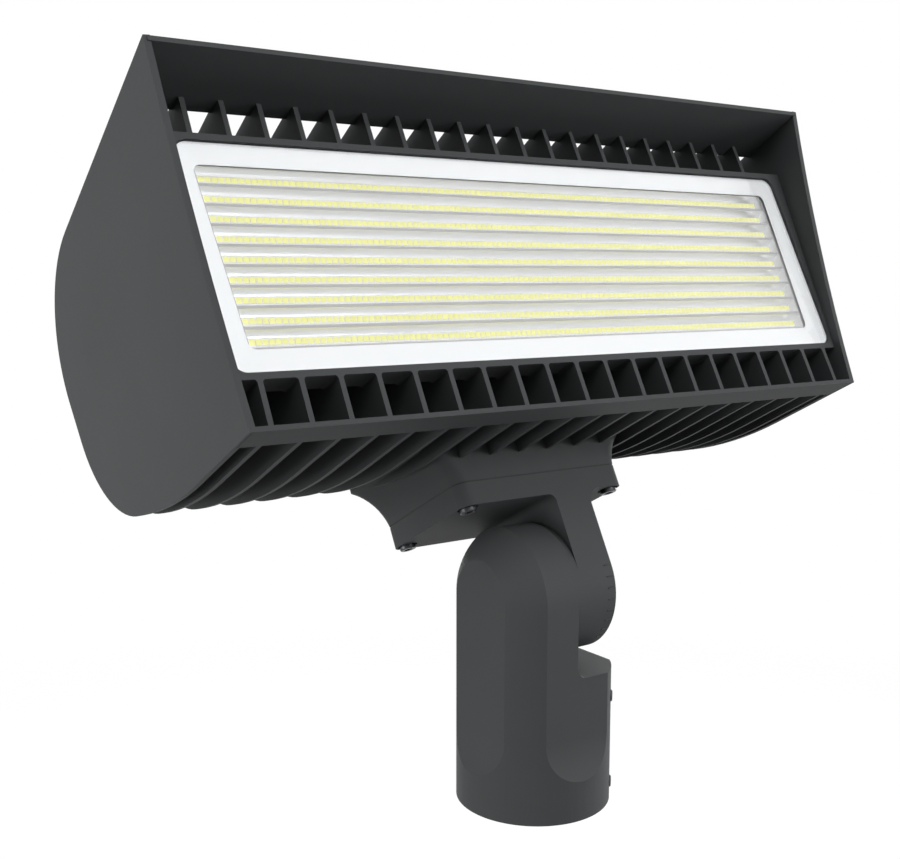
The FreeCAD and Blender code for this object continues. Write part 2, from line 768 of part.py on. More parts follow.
def make_lens_gasket():
    """Silicone frame between the glass and the shelf of the tray."""
    body = new_body("lens_gasket")
    gap = size("glass_clearance")
    low, high = LENS_FLOOR + gap, LENS_TOP - gap
    seat = LENS_HALF - gap / cosine(LENS_FLARE)
    sketch = new_sketch(body, "gasket_outline", "XZ_Plane", GLASS_BACK)
    half_low, half_high = (seat + (level - LENS_FLOOR) * tangent(LENS_FLARE) for level in (low, high))
    round_trapezoid(sketch, half_low, half_high, low, high, LENS_FLARE, size("lens_corner") - gap)
    rectangle(sketch, -ENGINE_HALF, ENGINE_HALF, ENGINE_FLOOR, ENGINE_TOP)
    pad(body, "gasket", sketch, size("gasket_thick"), back=True)
    return in_head(body)


def make_reflector():
    """White moulding behind the glass. Each trough slopes and curves back to a slot for one LED row."""
    body = new_body("reflector")
    gap = size("engine_clearance")
    depth = size("reflector_depth")
    sketch = new_sketch(body, "reflector_outline", "XZ_Plane", REFLECTOR_FRONT)
    rectangle(sketch, -(ENGINE_HALF - gap), ENGINE_HALF - gap, ENGINE_FLOOR + gap, ENGINE_TOP - gap)
    pad(body, "block", sketch, depth, back=True)

    floor = WINDOW_FLOOR
    brow = floor + ROW_PITCH - size("row_divider")
    low = floor + size("row_sill")
    high = low + size("row_slot")
    back = REFLECTOR_FRONT - depth
    sketch = new_sketch(body, "trough_section", "YZ_Plane")
    outline(sketch, [
        (-REFLECTOR_FRONT - OVERCUT, floor), (-REFLECTOR_FRONT, floor), (-back, low),
        (-back + OVERCUT, low), (-back + OVERCUT, high), (-back, high),
        (-REFLECTOR_FRONT, brow), (-REFLECTOR_FRONT - OVERCUT, brow),
    ], {5: (size("trough_radius") + depth / 2, True)})
    trough = pocket(body, "trough", sketch, WINDOW_HALF * 2, both=True)
    row_of(body, "troughs", [trough], "Z_Axis", ROW_COUNT, ROW_PITCH)
    return in_head(body)


def make_led_rows():
    """Nine bars of LED packages on the board, one in the slot of each trough."""
    body = new_body("led_rows")
    centre = WINDOW_FLOOR + size("row_sill") + size("row_slot") / 2
    half = size("led_height") / 2
    end = WINDOW_HALF - size("engine_clearance")
    sketch = new_sketch(body, "led_row_outline", "XZ_Plane", BOARD_FRONT)
    rectangle(sketch, -end, end, centre - half, centre + half)
    bar = pad(body, "led_row", sketch, size("led_thick"))
    row_of(body, "led_row_set", [bar], "Z_Axis", ROW_COUNT, ROW_PITCH)
    return in_head(body)


def make_led_board():
    """Metal-core circuit board between the reflector and the spreader plate."""
    body = new_body("led_board")
    margin = size("board_margin")
    low = WINDOW_FLOOR - margin / 2
    high = low + ROW_PITCH * ROW_COUNT - margin
    sketch = new_sketch(body, "board_outline", "XZ_Plane", BOARD_FRONT)
    rectangle(sketch, -WINDOW_HALF, WINDOW_HALF, low, high)
    pad(body, "board", sketch, size("board_thick"), back=True)
    return in_head(body)


def make_led_plate():
    """Heat-spreader plate on the tray's ledge. Countersunk screws hold it down round its edge."""
    body = new_body("led_plate")
    gap = size("engine_clearance")
    sketch = new_sketch(body, "plate_outline", "XZ_Plane", SPREADER_FRONT)
    rectangle(sketch, -(ENGINE_HALF - gap), ENGINE_HALF - gap, ENGINE_FLOOR + gap, ENGINE_TOP - gap)
    pad(body, "spreader", sketch, size("spreader_thick"), back=True)

    clear = size("screw_clearance")
    section = [
        (size("plate_screw_head") + clear, OVERCUT), (size("plate_screw_head") + clear, ZERO),
        (size("plate_screw_radius") + clear, -SCREW_CONE),
        (size("plate_screw_radius") + clear, -size("spreader_thick") - OVERCUT),
        (ZERO, -size("spreader_thick") - OVERCUT), (ZERO, OVERCUT),
    ]
    sketch = countersink_sketch(body, "countersink_section", section)
    hole = body.newObject("PartDesign::Groove", "countersink")
    hole.Profile = sketch
    hole.ReferenceAxis = (sketch, ["V_Axis"])
    hole.Angle = 360.0
    plate_screw_pattern(body, "countersinks", hole)
    return in_head(body)


SCREW_CONE = size("plate_screw_head") - size("plate_screw_radius")


def countersink_sketch(body, name, section):
    """A section beside the axis of the first plate screw, drawn with its Y along the screw."""
    sketch = body.newObject("Sketcher::SketchObject", name)
    sketch.AttachmentSupport = (origin_feature(body, "XY_Plane"), "")
    sketch.MapMode = "FlatFace"
    base = FreeCAD.Vector(-PLATE_SCREW_X.value, -SPREADER_FRONT.value, PLATE_SCREW_LOW.value)
    sketch.AttachmentOffset = FreeCAD.Placement(base, FreeCAD.Rotation(FreeCAD.Vector(0, 0, 1), 180))
    bind(sketch, "AttachmentOffset.Base.x", -PLATE_SCREW_X)
    bind(sketch, "AttachmentOffset.Base.y", -SPREADER_FRONT)
    bind(sketch, "AttachmentOffset.Base.z", PLATE_SCREW_LOW)
    outline(sketch, section)
    return sketch


def plate_screw_pattern(body, name, original):
    second = ("Z_Axis", TWO, PLATE_SCREW_HIGH - PLATE_SCREW_LOW)
    row_of(body, name, [original], "X_Axis", PLATE_SCREW_COLUMNS, PLATE_SCREW_STEP, second)


def make_plate_screws():
    """Countersunk screws through the spreader plate into the ledge."""
    body = new_body("plate_screws")
    radius, head = size("plate_screw_radius"), size("plate_screw_head")
    length = size("plate_screw_length")
    section = [(ZERO, ZERO), (ZERO, -length), (radius, -length), (radius, -SCREW_CONE), (head, ZERO)]
    screw = turned(body, "plate_screw", countersink_sketch(body, "plate_screw_section", section), "V_Axis")
    plate_screw_pattern(body, "plate_screw_set", screw)
    return in_head(body)


def make_thermal_pad():
    """Heat-conducting frame between the spreader plate and the ledge, with the screws' holes."""
    body = new_body("thermal_pad")
    gap = size("engine_clearance")
    sketch = new_sketch(body, "thermal_pad_outline", "XZ_Plane", SPREADER_BACK)
    rectangle(sketch, -(ENGINE_HALF - gap), ENGINE_HALF - gap, ENGINE_FLOOR + gap, ENGINE_TOP - gap)
    rectangle(sketch, -CHAMBER_HALF + gap, CHAMBER_HALF - gap, CHAMBER_FLOOR, CHAMBER_TOP)
    pad(body, "sheet", sketch, size("thermal_pad_thick"), back=True)
    sketch = new_sketch(body, "thermal_pad_hole", "XZ_Plane", SPREADER_BACK + OVERCUT)
    circle(sketch, -PLATE_SCREW_X, PLATE_SCREW_LOW, size("plate_screw_radius") + size("screw_clearance"))
    hole = pocket(body, "sheet_hole", sketch, size("thermal_pad_thick") + OVERCUT * 2)
    plate_screw_pattern(body, "sheet_holes", hole)
    return in_head(body)


def make_driver():
    """Power supply: a can with round edges and a fixing tab at each end, on the chamber's back wall."""
    body = new_body("driver")
    half = size("driver_length") / 2
    low, high = CHAMBER_MIDDLE - DRIVER_RISE, CHAMBER_MIDDLE + DRIVER_RISE
    sketch = new_sketch(body, "can_outline", "XZ_Plane", -DRIVER_BASE)
    round_rectangle(sketch, -half, half, low, high, size("driver_round"))
    pad(body, "can", sketch, size("driver_depth"))
    sketch = new_sketch(body, "tab_outline", "XZ_Plane", -DRIVER_BASE)
    tab = size("driver_tab")
    rectangle(sketch, -half - tab, half + tab, CHAMBER_MIDDLE - tab, CHAMBER_MIDDLE + tab)
    for side in (-1, 1):
        circle(sketch, DRIVER_SCREW_X * side, CHAMBER_MIDDLE, DRIVER_SCREW_HOLE)
    pad(body, "tabs", sketch, size("driver_tab_thick"))
    return in_head(body)


def make_driver_pad():
    """Heat-conducting pad between the driver and the back wall."""
    body = new_body("driver_pad")
    half, rise = size("driver_length") / 2 + size("driver_tab"), size("driver_tab")
    sketch = new_sketch(body, "driver_pad_outline", "XZ_Plane", -CHAMBER_BACK)
    rectangle(sketch, -half, half, CHAMBER_MIDDLE - rise, CHAMBER_MIDDLE + rise)
    for side in (-1, 1):
        circle(sketch, DRIVER_SCREW_X * side, CHAMBER_MIDDLE, DRIVER_SCREW_HOLE)
    circle(sketch, VENT_X, CHAMBER_MIDDLE, size("vent_stem_radius") + size("screw_clearance"))
    pad(body, "driver_sheet", sketch, size("driver_pad_thick"))
    return in_head(body)


def make_driver_screws():
    """Two pan-head screws through the driver's tabs into the back wall."""
    body = new_body("driver_screws")
    under_head = DRIVER_BASE - size("driver_tab_thick")
    sketch = new_sketch(body, "shank_outline", "XZ_Plane", -under_head)
    circle(sketch, -DRIVER_SCREW_X, CHAMBER_MIDDLE, size("driver_screw_radius"))
    reach = CHAMBER_BACK + size("driver_screw_bite") - under_head - size("seat_gap")
    shank = pad(body, "shank", sketch, reach, back=True)
    sketch = new_sketch(body, "head_outline", "XZ_Plane", -under_head)
    circle(sketch, -DRIVER_SCREW_X, CHAMBER_MIDDLE, size("driver_screw_head"))
    head = pad(body, "head", sketch, size("driver_screw_head_thick"))
    row_of(body, "driver_screw_set", [shank, head], "X_Axis", TWO, DRIVER_SCREW_X * 2)
    return in_head(body)


def make_breather_vent():
    """Pressure vent: a round cap on the chamber's back wall, between two fins, with a stem through it."""
    body = new_body("breather_vent")
    outside = CHAMBER_BACK + size("core_wall")
    sketch = new_sketch(body, "vent_cap_outline", "XZ_Plane", -outside)
    circle(sketch, VENT_X, CHAMBER_MIDDLE, size("vent_radius"))
    pad(body, "vent_cap", sketch, size("vent_height"), back=True)
    sketch = new_sketch(body, "vent_stem_outline", "XZ_Plane", -outside)
    circle(sketch, VENT_X, CHAMBER_MIDDLE, size("vent_stem_radius"))
    pad(body, "vent_stem", sketch, size("core_wall"))
    return in_head(body)


def make_wire_grommet():
    """Rubber bush in the wire hole, with a flange on the chamber's floor."""
    body = new_body("wire_grommet")
    sketch = new_sketch(body, "bush_outline", "XY_Plane", PAD_LEVEL)
    circle(sketch, WIRE_X, -WIRE_AHEAD, size("grommet_radius"))
    circle(sketch, WIRE_X, -WIRE_AHEAD, WIRE_HOLE)
    pad(body, "bush", sketch, CHAMBER_FLOOR - PAD_LEVEL)
    sketch = new_sketch(body, "flange_outline", "XY_Plane", CHAMBER_FLOOR)
    circle(sketch, WIRE_X, -WIRE_AHEAD, size("grommet_flange"))
    circle(sketch, WIRE_X, -WIRE_AHEAD, WIRE_HOLE)
    pad(body, "flange", sketch, size("grommet_flange_thick"))
    return in_head(body)


def make_bracket_gasket():
    """Thin sheet between the head's pad and the bracket plate, with its screw holes and wire hole."""
    body = new_body("bracket_gasket")
    inset = size("screw_clearance")
    sketch = new_sketch(body, "bracket_gasket_outline", "XY_Plane", BRACKET_TOP)
    round_rectangle(
        sketch, -BRACKET_HALF + inset, BRACKET_HALF - inset, -BRACKET_AHEAD + inset, BRACKET_BACK - inset,
        size("bracket_corner"),
    )
    for x in (-SCREW_X, SCREW_X):
        for y in (-SCREW_AHEAD, SCREW_BEHIND):
            circle(sketch, x, y, size("bracket_screw_radius") + size("screw_clearance"))
    circle(sketch, WIRE_X, -WIRE_AHEAD, WIRE_HOLE)
    pad(body, "bracket_sheet", sketch, size("bracket_gasket_thick"))
    return in_head(body)


def make_bracket():
    """The arm casting: a plate under the head and one leg down to the knuckle disc."""
    body = new_body("bracket")
    radius = size("knuckle_radius")
    gap = size("knuckle_gap")
    sketch = new_sketch(body, "bracket_plate_outline", "XY_Plane", BRACKET_LEVEL)
    round_rectangle(
        sketch, -BRACKET_HALF, BRACKET_HALF, -BRACKET_AHEAD, BRACKET_BACK, size("bracket_corner")
    )
    pad(body, "bracket_plate", sketch, size("bracket_thick"))

    shoulder = BRACKET_LEVEL + size("bracket_thick") / 2
    sketch = new_sketch(body, "leg_outline", "YZ_Plane", LEG_INNER)
    outline(sketch, [
        (-radius, shoulder), (-radius, ZERO), (ZERO, -radius), (radius, ZERO), (radius, shoulder),
    ], {1: (radius, True), 2: (radius, True)})
    pad(body, "leg", sketch, LEG_OUTER - LEG_INNER)
    for name, face in (("inner", LEG_INNER), ("outer", LEG_OUTER)):
        base = body.Tip
        edges = edges_where(base, lambda at, face=face: near(at.x, face) and near(at.z, BRACKET_LEVEL))
        fillet(body, f"leg_{name}_round", base, edges, size(f"leg_{name}_fillet"))

    sketch = new_sketch(body, "disc_outline", "YZ_Plane", gap)
    circle(sketch, ZERO, ZERO, radius)
    pad(body, "disc", sketch, LEG_INNER - gap)

    sketch = new_sketch(body, "wireway_outline", "YZ_Plane", gap)
    circle(sketch, ZERO, ZERO, WIREWAY_OUTER)
    circle(sketch, ZERO, ZERO, WIREWAY_INNER)
    pocket(body, "wireway", sketch, size("wireway_depth"), back=True)
    sketch = new_sketch(body, "wire_channel_outline", "XY_Plane", BRACKET_TOP)
    circle(sketch, WIRE_X, -WIRE_AHEAD, WIRE_HOLE)
    pocket(body, "wire_channel", sketch, BRACKET_TOP)

    sketch = new_sketch(body, "bolt_hole_outline", "YZ_Plane", LEG_OUTER)
    circle(sketch, ZERO, ZERO, BOLT + size("bolt_fit"))
    pocket(body, "bolt_hole", sketch, LEG_OUTER)
    sketch = new_sketch(body, "bolt_recess_outline", "YZ_Plane", LEG_OUTER)
    circle(sketch, ZERO, ZERO, size("bolt_washer_radius") + size("bolt_recess_margin"))
    pocket(body, "bolt_recess", sketch, size("bolt_recess_depth"))

    sketch = new_sketch(body, "screw_hole_outline", "XY_Plane", BRACKET_LEVEL)
    circle(sketch, -SCREW_X, -SCREW_AHEAD, size("bracket_screw_radius") + size("screw_clearance"))
    hole = pocket(body, "screw_hole", sketch, size("bracket_thick"), back=True)
    sketch = new_sketch(body, "counterbore_outline", "XY_Plane", BRACKET_LEVEL)
    circle(sketch, -SCREW_X, -SCREW_AHEAD, size("counterbore_radius"))
    counterbore = pocket(body, "counterbore", sketch, size("counterbore_depth"), back=True)
    row_of(
        body, "screw_holes", [hole, counterbore], "X_Axis", TWO, SCREW_X * 2, ("Y_Axis", TWO, SCREW_DEPTH)
    )
    return in_head(body)


SCREW_SEAT = BRACKET_LEVEL + size("counterbore_depth") - size("washer_thick")


def make_bracket_screws():
    """Four socket-head screws through the bracket plate into the pad."""
    body = new_body("bracket_screws")
    reach = PAD_LEVEL + size("bracket_screw_bite") - SCREW_SEAT - size("seat_gap")
    sketch = new_sketch(body, "shank_outline", "XY_Plane", SCREW_SEAT)
    circle(sketch, -SCREW_X, -SCREW_AHEAD, size("bracket_screw_radius"))
    shank = pad(body, "shank", sketch, reach)
    sketch = new_sketch(body, "head_outline", "XY_Plane", SCREW_SEAT)
    circle(sketch, -SCREW_X, -SCREW_AHEAD, size("bracket_screw_head"))
    head = pad(body, "head", sketch, size("bracket_screw_head_thick"), back=True)
    row_of(body, "bracket_screw_set", [shank, head], "X_Axis", TWO, SCREW_X * 2, ("Y_Axis", TWO, SCREW_DEPTH))
    return in_head(body)


def make_bracket_washers():
    """Four washers in the plate's counterbores."""
    body = new_body("bracket_washers")
    sketch = new_sketch(body, "washer_outline", "XY_Plane", SCREW_SEAT)
    circle(sketch, -SCREW_X, -SCREW_AHEAD, size("washer_radius"))
    circle(sketch, -SCREW_X, -SCREW_AHEAD, size("bracket_screw_radius") + size("screw_clearance"))
    washer = pad(body, "washer", sketch, size("washer_thick"))
    row_of(body, "washer_set", [washer], "X_Axis", TWO, SCREW_X * 2, ("Y_Axis", TWO, SCREW_DEPTH))
    return in_head(body)


# Places along the tilt axis, outwards from the floor of the recess in the leg
WASHER_SEAT = BOLT_SEAT + size("seat_gap")
LOCK_SEAT = WASHER_SEAT + size("bolt_washer_thick")
HEAD_SEAT = LOCK_SEAT + size("lock_washer_thick")


def make_knuckle_bolt():
    """Hexagon bolt on the tilt axis, screwed into the slipfitter's tongue."""
    body = new_body("knuckle_bolt")
    sketch = new_sketch(body, "bolt_shank_outline", "YZ_Plane", HEAD_SEAT)
    circle(sketch, ZERO, PIVOT, BOLT)
    pad(body, "bolt_shank", sketch, HEAD_SEAT + size("bolt_bite"), back=True)
    head = size("bolt_head_radius")
    sketch = new_sketch(body, "bolt_head_outline", "YZ_Plane", HEAD_SEAT)
    across = head * cosine(as_size(30))
    outline(sketch, [
        (-head / 2, PIVOT - across), (head / 2, PIVOT - across), (head, PIVOT),
        (head / 2, PIVOT + across), (-head / 2, PIVOT + across), (-head, PIVOT),
    ])
    pad(body, "bolt_head", sketch, size("bolt_head_thick"))
    return body


def make_ring(label, seat, thick, outer, inner):
    """A flat ring round the tilt axis."""
    body = new_body(label)
    sketch = new_sketch(body, f"{label}_outline", "YZ_Plane", seat)
    circle(sketch, ZERO, PIVOT, outer)
    circle(sketch, ZERO, PIVOT, inner)
    pad(body, f"{label}_ring", sketch, thick)
    return body


def make_slipfitter():
    """The socket casting: a domed cylinder with four flats, a tongue for the knuckle and the tenon bore."""
    body = new_body("slipfitter")
    radius, flat = SLIP_RADIUS, SLIP_FLAT
    crest = PIVOT + radius
    sketch = new_sketch(body, "slip_section", "XZ_Plane")
    outline(sketch, [(ZERO, ZERO), (radius, ZERO), (radius, PIVOT), (ZERO, crest)], {2: (radius, True)})
    turned(body, "slip", sketch, "V_Axis")

    start, runout = size("flat_start"), size("flat_runout_radius")
    proud = radius - flat + OVERCUT
    end = start - root(runout * runout - (runout - proud) * (runout - proud))
    side, above = flat + proud, crest + OVERCUT
    sketch = new_sketch(body, "front_flats_section", "YZ_Plane")
    outline(sketch, [
        (-flat, start), (-flat, PIVOT), (ZERO, PIVOT + flat), (flat, PIVOT), (flat, start),
        (side, end), (side, above), (-side, above), (-side, end),
    ], {1: (flat, False), 2: (flat, False), 4: (runout, True), 8: (runout, True)})
    pocket(body, "front_flats", sketch, side * 2, both=True)

    sketch = new_sketch(body, "side_flats_section", "XZ_Plane")
    outline(sketch, [(-flat, start), (-flat, above), (-side, above), (-side, end)], {3: (runout, True)})
    outline(sketch, [(flat, start), (side, end), (side, above), (flat, above)], {0: (runout, True)})
    pocket(body, "side_flats", sketch, side * 2, both=True)

    ledge, corner = SLIP_LEDGE, size("ledge_fillet")
    sketch = new_sketch(body, "ledge_section", "XZ_Plane")
    outline(sketch, [
        (ZERO, ledge + corner), (corner, ledge), (side, ledge), (side, above), (ZERO, above),
    ], {0: (corner, True)})
    pocket(body, "ledge", sketch, side * 2, both=True)

    sketch = new_sketch(body, "bore_outline", "XY_Plane")
    circle(sketch, ZERO, ZERO, size("bore_radius"))
    pocket(body, "bore", sketch, BORE_DEPTH, back=True)

    sketch = new_sketch(body, "wireway_outline", "YZ_Plane")
    circle(sketch, ZERO, PIVOT, WIREWAY_OUTER)
    circle(sketch, ZERO, PIVOT, WIREWAY_INNER)
    pocket(body, "wireway", sketch, size("wireway_depth"))
    sketch = new_sketch(body, "wire_channel_outline", "XY_Plane", BORE_DEPTH - OVERCUT)
    circle(sketch, -size("wireway_depth"), -WIRE_AHEAD, WIRE_HOLE)
    pocket(body, "wire_channel", sketch, PIVOT - BORE_DEPTH + OVERCUT, back=True)

    sketch = new_sketch(body, "tapped_hole_outline", "YZ_Plane")
    circle(sketch, ZERO, PIVOT, BOLT + THREAD_GAP)
    pocket(body, "tapped_hole", sketch, size("bolt_bite") + size("seat_gap"))
    sketch = new_sketch(body, "seal_groove_outline", "YZ_Plane")
    circle(sketch, ZERO, PIVOT, SEAL_OUTER + size("seat_gap"))
    circle(sketch, ZERO, PIVOT, SEAL_INNER - size("seat_gap"))
    pocket(body, "seal_groove", sketch, size("seal_depth"))

    sketch = set_screw_sketch(body, "set_screw_hole_outline", size("set_screw_radius") + THREAD_GAP)
    hole = pocket(body, "set_screw_hole", sketch, radius + OVERCUT, back=True)
    mirror(body, "set_screw_holes", [hole], "XZ_Plane")
    return body


def set_screw_sketch(body, name, radius):
    """Circles for the low and the high set screw, seen along the direction that they point in."""
    turn_axis = FreeCAD.Vector(0, 1, 0)
    sketch = new_sketch(body, name, "XZ_Plane", turn_axis=turn_axis, turn=size("set_screw_turn"))
    circle(sketch, ZERO, size("set_screw_low"), radius)
    circle(sketch, ZERO, BORE_DEPTH - size("set_screw_drop"), radius)
    return sketch


def make_set_screws():
    """Two set screws on one corner beside the ledge and two on the next corner, all clear of the bore."""
    body = new_body("set_screws")
    outer = SLIP_RADIUS + size("set_screw_proud")
    inner = size("bore_radius") + size("set_screw_tip_gap")
    sketch = set_screw_sketch(body, "rod_outline", size("set_screw_radius"))
    rods = pad(body, "rods", sketch, outer)
    sketch = new_sketch(body, "tenon_space", "XY_Plane", -OVERCUT)
    circle(sketch, ZERO, ZERO, inner)
    tips = pocket(body, "tips", sketch, BORE_DEPTH + OVERCUT * 2, back=True)
    mirror(body, "set_screw_pairs", [rods, tips], "XZ_Plane")
    return body


def make_knuckle_rings():
    clear = BOLT + size("seat_gap")
    washer = make_ring(
        "bolt_washer", WASHER_SEAT, size("bolt_washer_thick"), size("bolt_washer_radius"), clear
    )
    lock = make_ring("lock_washer", LOCK_SEAT, size("lock_washer_thick"), size("lock_washer_radius"), clear)
    depth = size("seal_depth")
    seal = make_ring("knuckle_seal", -depth, depth, SEAL_OUTER, SEAL_INNER)
    return [washer, lock, seal]


nodes = [
    make_housing(), make_lens_glass(), make_lens_gasket(), make_reflector(), make_led_rows(),
    make_led_board(), make_led_plate(), make_plate_screws(), make_thermal_pad(), make_driver(),
    make_driver_pad(), make_driver_screws(), make_breather_vent(), make_wire_grommet(),
    make_bracket_gasket(), make_bracket(), make_bracket_screws(), make_bracket_washers(),
    make_knuckle_bolt(), make_slipfitter(), make_set_screws(),
] + make_knuckle_rings()

doc.recompute()
for part in doc.Objects:
    if "Invalid" in part.State or "Error" in part.State:
        raise ValueError(f"{part.Label}: {part.State}")
for node in nodes:
    if node.Shape.isNull() or not node.Shape.isValid():
        raise ValueError(f"{node.Label}: bad shape")

os.makedirs("parts", exist_ok=True)
for node in nodes:
    node.Shape.exportStep(f"parts/{node.Label}.step")
    box = node.Shape.BoundBox
    print(f"{node.Label}: {len(node.Shape.Solids)} solids, {node.Shape.Volume / 1000.0:.1f} cm3, "
          f"{box.XLength:.1f} x {box.YLength:.1f} x {box.ZLength:.1f}")
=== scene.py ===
import json
import math

import bmesh
import bpy
from mathutils import Matrix, Vector

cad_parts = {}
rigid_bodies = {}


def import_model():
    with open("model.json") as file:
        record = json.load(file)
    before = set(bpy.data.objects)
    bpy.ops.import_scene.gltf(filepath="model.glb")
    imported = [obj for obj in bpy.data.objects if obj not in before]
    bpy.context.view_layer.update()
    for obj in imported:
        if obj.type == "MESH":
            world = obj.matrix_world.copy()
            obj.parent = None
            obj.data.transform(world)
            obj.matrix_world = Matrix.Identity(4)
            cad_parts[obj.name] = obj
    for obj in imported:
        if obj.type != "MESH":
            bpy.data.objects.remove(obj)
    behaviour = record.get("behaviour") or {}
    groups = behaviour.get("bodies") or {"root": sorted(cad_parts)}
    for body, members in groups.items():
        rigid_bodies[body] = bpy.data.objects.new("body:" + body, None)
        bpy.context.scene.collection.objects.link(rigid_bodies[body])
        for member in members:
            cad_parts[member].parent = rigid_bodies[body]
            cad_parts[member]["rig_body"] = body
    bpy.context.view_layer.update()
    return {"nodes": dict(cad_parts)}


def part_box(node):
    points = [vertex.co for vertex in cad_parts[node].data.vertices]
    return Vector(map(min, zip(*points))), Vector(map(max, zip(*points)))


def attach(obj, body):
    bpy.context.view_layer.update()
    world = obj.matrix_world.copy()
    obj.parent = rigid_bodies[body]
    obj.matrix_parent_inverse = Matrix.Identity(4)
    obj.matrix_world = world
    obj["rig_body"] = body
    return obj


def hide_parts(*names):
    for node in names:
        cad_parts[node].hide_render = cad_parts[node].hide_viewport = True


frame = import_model()
scene = bpy.context.scene
scene.view_settings.view_transform = "Standard"


# Studio
# The light stands in front of plain white, as on a product sheet: a pale floor well below the part,
# which a pole holds up, a white surround, and soft boxes on every side of it.
def linear(hex_colour):
    """The linear colour, with alpha 1, of an sRGB hex value."""
    channels = [int(hex_colour[i:i + 2], 16) / 255 for i in (1, 3, 5)]
    return [c / 12.92 if c <= 0.04045 else ((c + 0.055) / 1.055) ** 2.4 for c in channels] + [1.0]


def add(tree, kind, links=None, **settings):
    """Add a node. links gives its inputs by name or number: a value, or another node's output socket."""
    made = tree.nodes.new(kind)
    for name, value in settings.items():
        setattr(made, name, value)
    for name, value in (links or {}).items():
        socket = made.inputs[name]
        if isinstance(value, bpy.types.NodeSocket):
            tree.links.new(value, socket)
        else:
            socket.default_value = value
    return made


def new_material(name):
    """A material with an empty tree and its output node."""
    made = bpy.data.materials.new(name)
    made.use_nodes = True
    made.node_tree.nodes.clear()
    return made, made.node_tree, made.node_tree.nodes.new("ShaderNodeOutputMaterial")


HALF_A_BOUNCE = 0.5


def plain_sight(tree):
    """1 for what is looked at, also in a mirror or through glass, and 0 for light that has bounced."""
    path = add(tree, "ShaderNodeLightPath")
    seen = path.outputs["Is Camera Ray"]
    for kind in ("Is Glossy Ray", "Is Transmission Ray"):
        either = add(tree, "ShaderNodeMath", {0: seen, 1: path.outputs[kind]}, operation="MAXIMUM")
        seen = either.outputs[0]
    direct = add(tree, "ShaderNodeMath", {
        0: path.outputs["Diffuse Depth"], 1: HALF_A_BOUNCE,
    }, operation="LESS_THAN")
    return add(tree, "ShaderNodeMath", {0: seen, 1: direct.outputs[0]}, operation="MULTIPLY").outputs[0]


# The surround is white to look at. As a light it is weak, and nearly dark below the horizon.
SKY_LIGHT, GROUND_LIGHT = 0.4, 0.02
SKY_FROM, SKY_TO = -0.1, 0.5
world = bpy.data.worlds.new("studio_surround")
scene.world = world
world.use_nodes = True
tree = world.node_tree
tree.nodes.clear()
direction = add(tree, "ShaderNodeTexCoord").outputs["Generated"]
upward = add(tree, "ShaderNodeSeparateXYZ", {0: direction})
sky = add(tree, "ShaderNodeMapRange", {
    "Value": upward.outputs["Z"], "From Min": SKY_FROM, "From Max": SKY_TO,
    "To Min": GROUND_LIGHT, "To Max": SKY_LIGHT,
})
strength = add(tree, "ShaderNodeMapRange", {
    "Value": plain_sight(tree), "To Min": sky.outputs[0], "To Max": 1.0,
})
surround = add(tree, "ShaderNodeBackground", {
    "Color": linear("#ffffff"), "Strength": strength.outputs[0],
})
add(tree, "ShaderNodeOutputWorld", {"Surface": surround.outputs[0]})

# Pale studio floor: a tenth of it takes light near the part, and further out it is pure white.
FLOOR_DROP, FLOOR_SIDE = 0.6, 40.0
FLOOR_GLOW, SHADE_NEAR, SHADE_FAR = 0.9, 0.8, 2.4
mesh = bpy.data.meshes.new("floor")
half = FLOOR_SIDE / 2
corners = [(-half, -half, 0), (half, -half, 0), (half, half, 0), (-half, half, 0)]
mesh.from_pydata(corners, [], [(0, 1, 2, 3)])
mesh.transform(Matrix.Translation((0, 0, -FLOOR_DROP)))
floor = bpy.data.objects.new("floor", mesh)
scene.collection.objects.link(floor)
material, tree, output = new_material("pale_studio_floor")
lit = add(tree, "ShaderNodeBsdfDiffuse", {"Color": linear("#f2f2f2")})
glow = add(tree, "ShaderNodeEmission", {"Color": linear("#ffffff"), "Strength": 1.0})
place = add(tree, "ShaderNodeTexCoord").outputs["Object"]
away = add(tree, "ShaderNodeVectorMath", {0: place}, operation="LENGTH")
white = add(tree, "ShaderNodeMapRange", {
    "Value": away.outputs["Value"], "From Min": SHADE_NEAR, "From Max": SHADE_FAR,
    "To Min": FLOOR_GLOW, "To Max": 1.0,
})
share = add(tree, "ShaderNodeMath", {0: white.outputs[0], 1: plain_sight(tree)}, operation="MULTIPLY")
mixed = add(tree, "ShaderNodeMixShader", {0: share.outputs[0], 1: lit.outputs[0], 2: glow.outputs[0]})
tree.links.new(mixed.outputs[0], output.inputs["Surface"])
mesh.materials.append(material)
floor.visible_diffuse = False

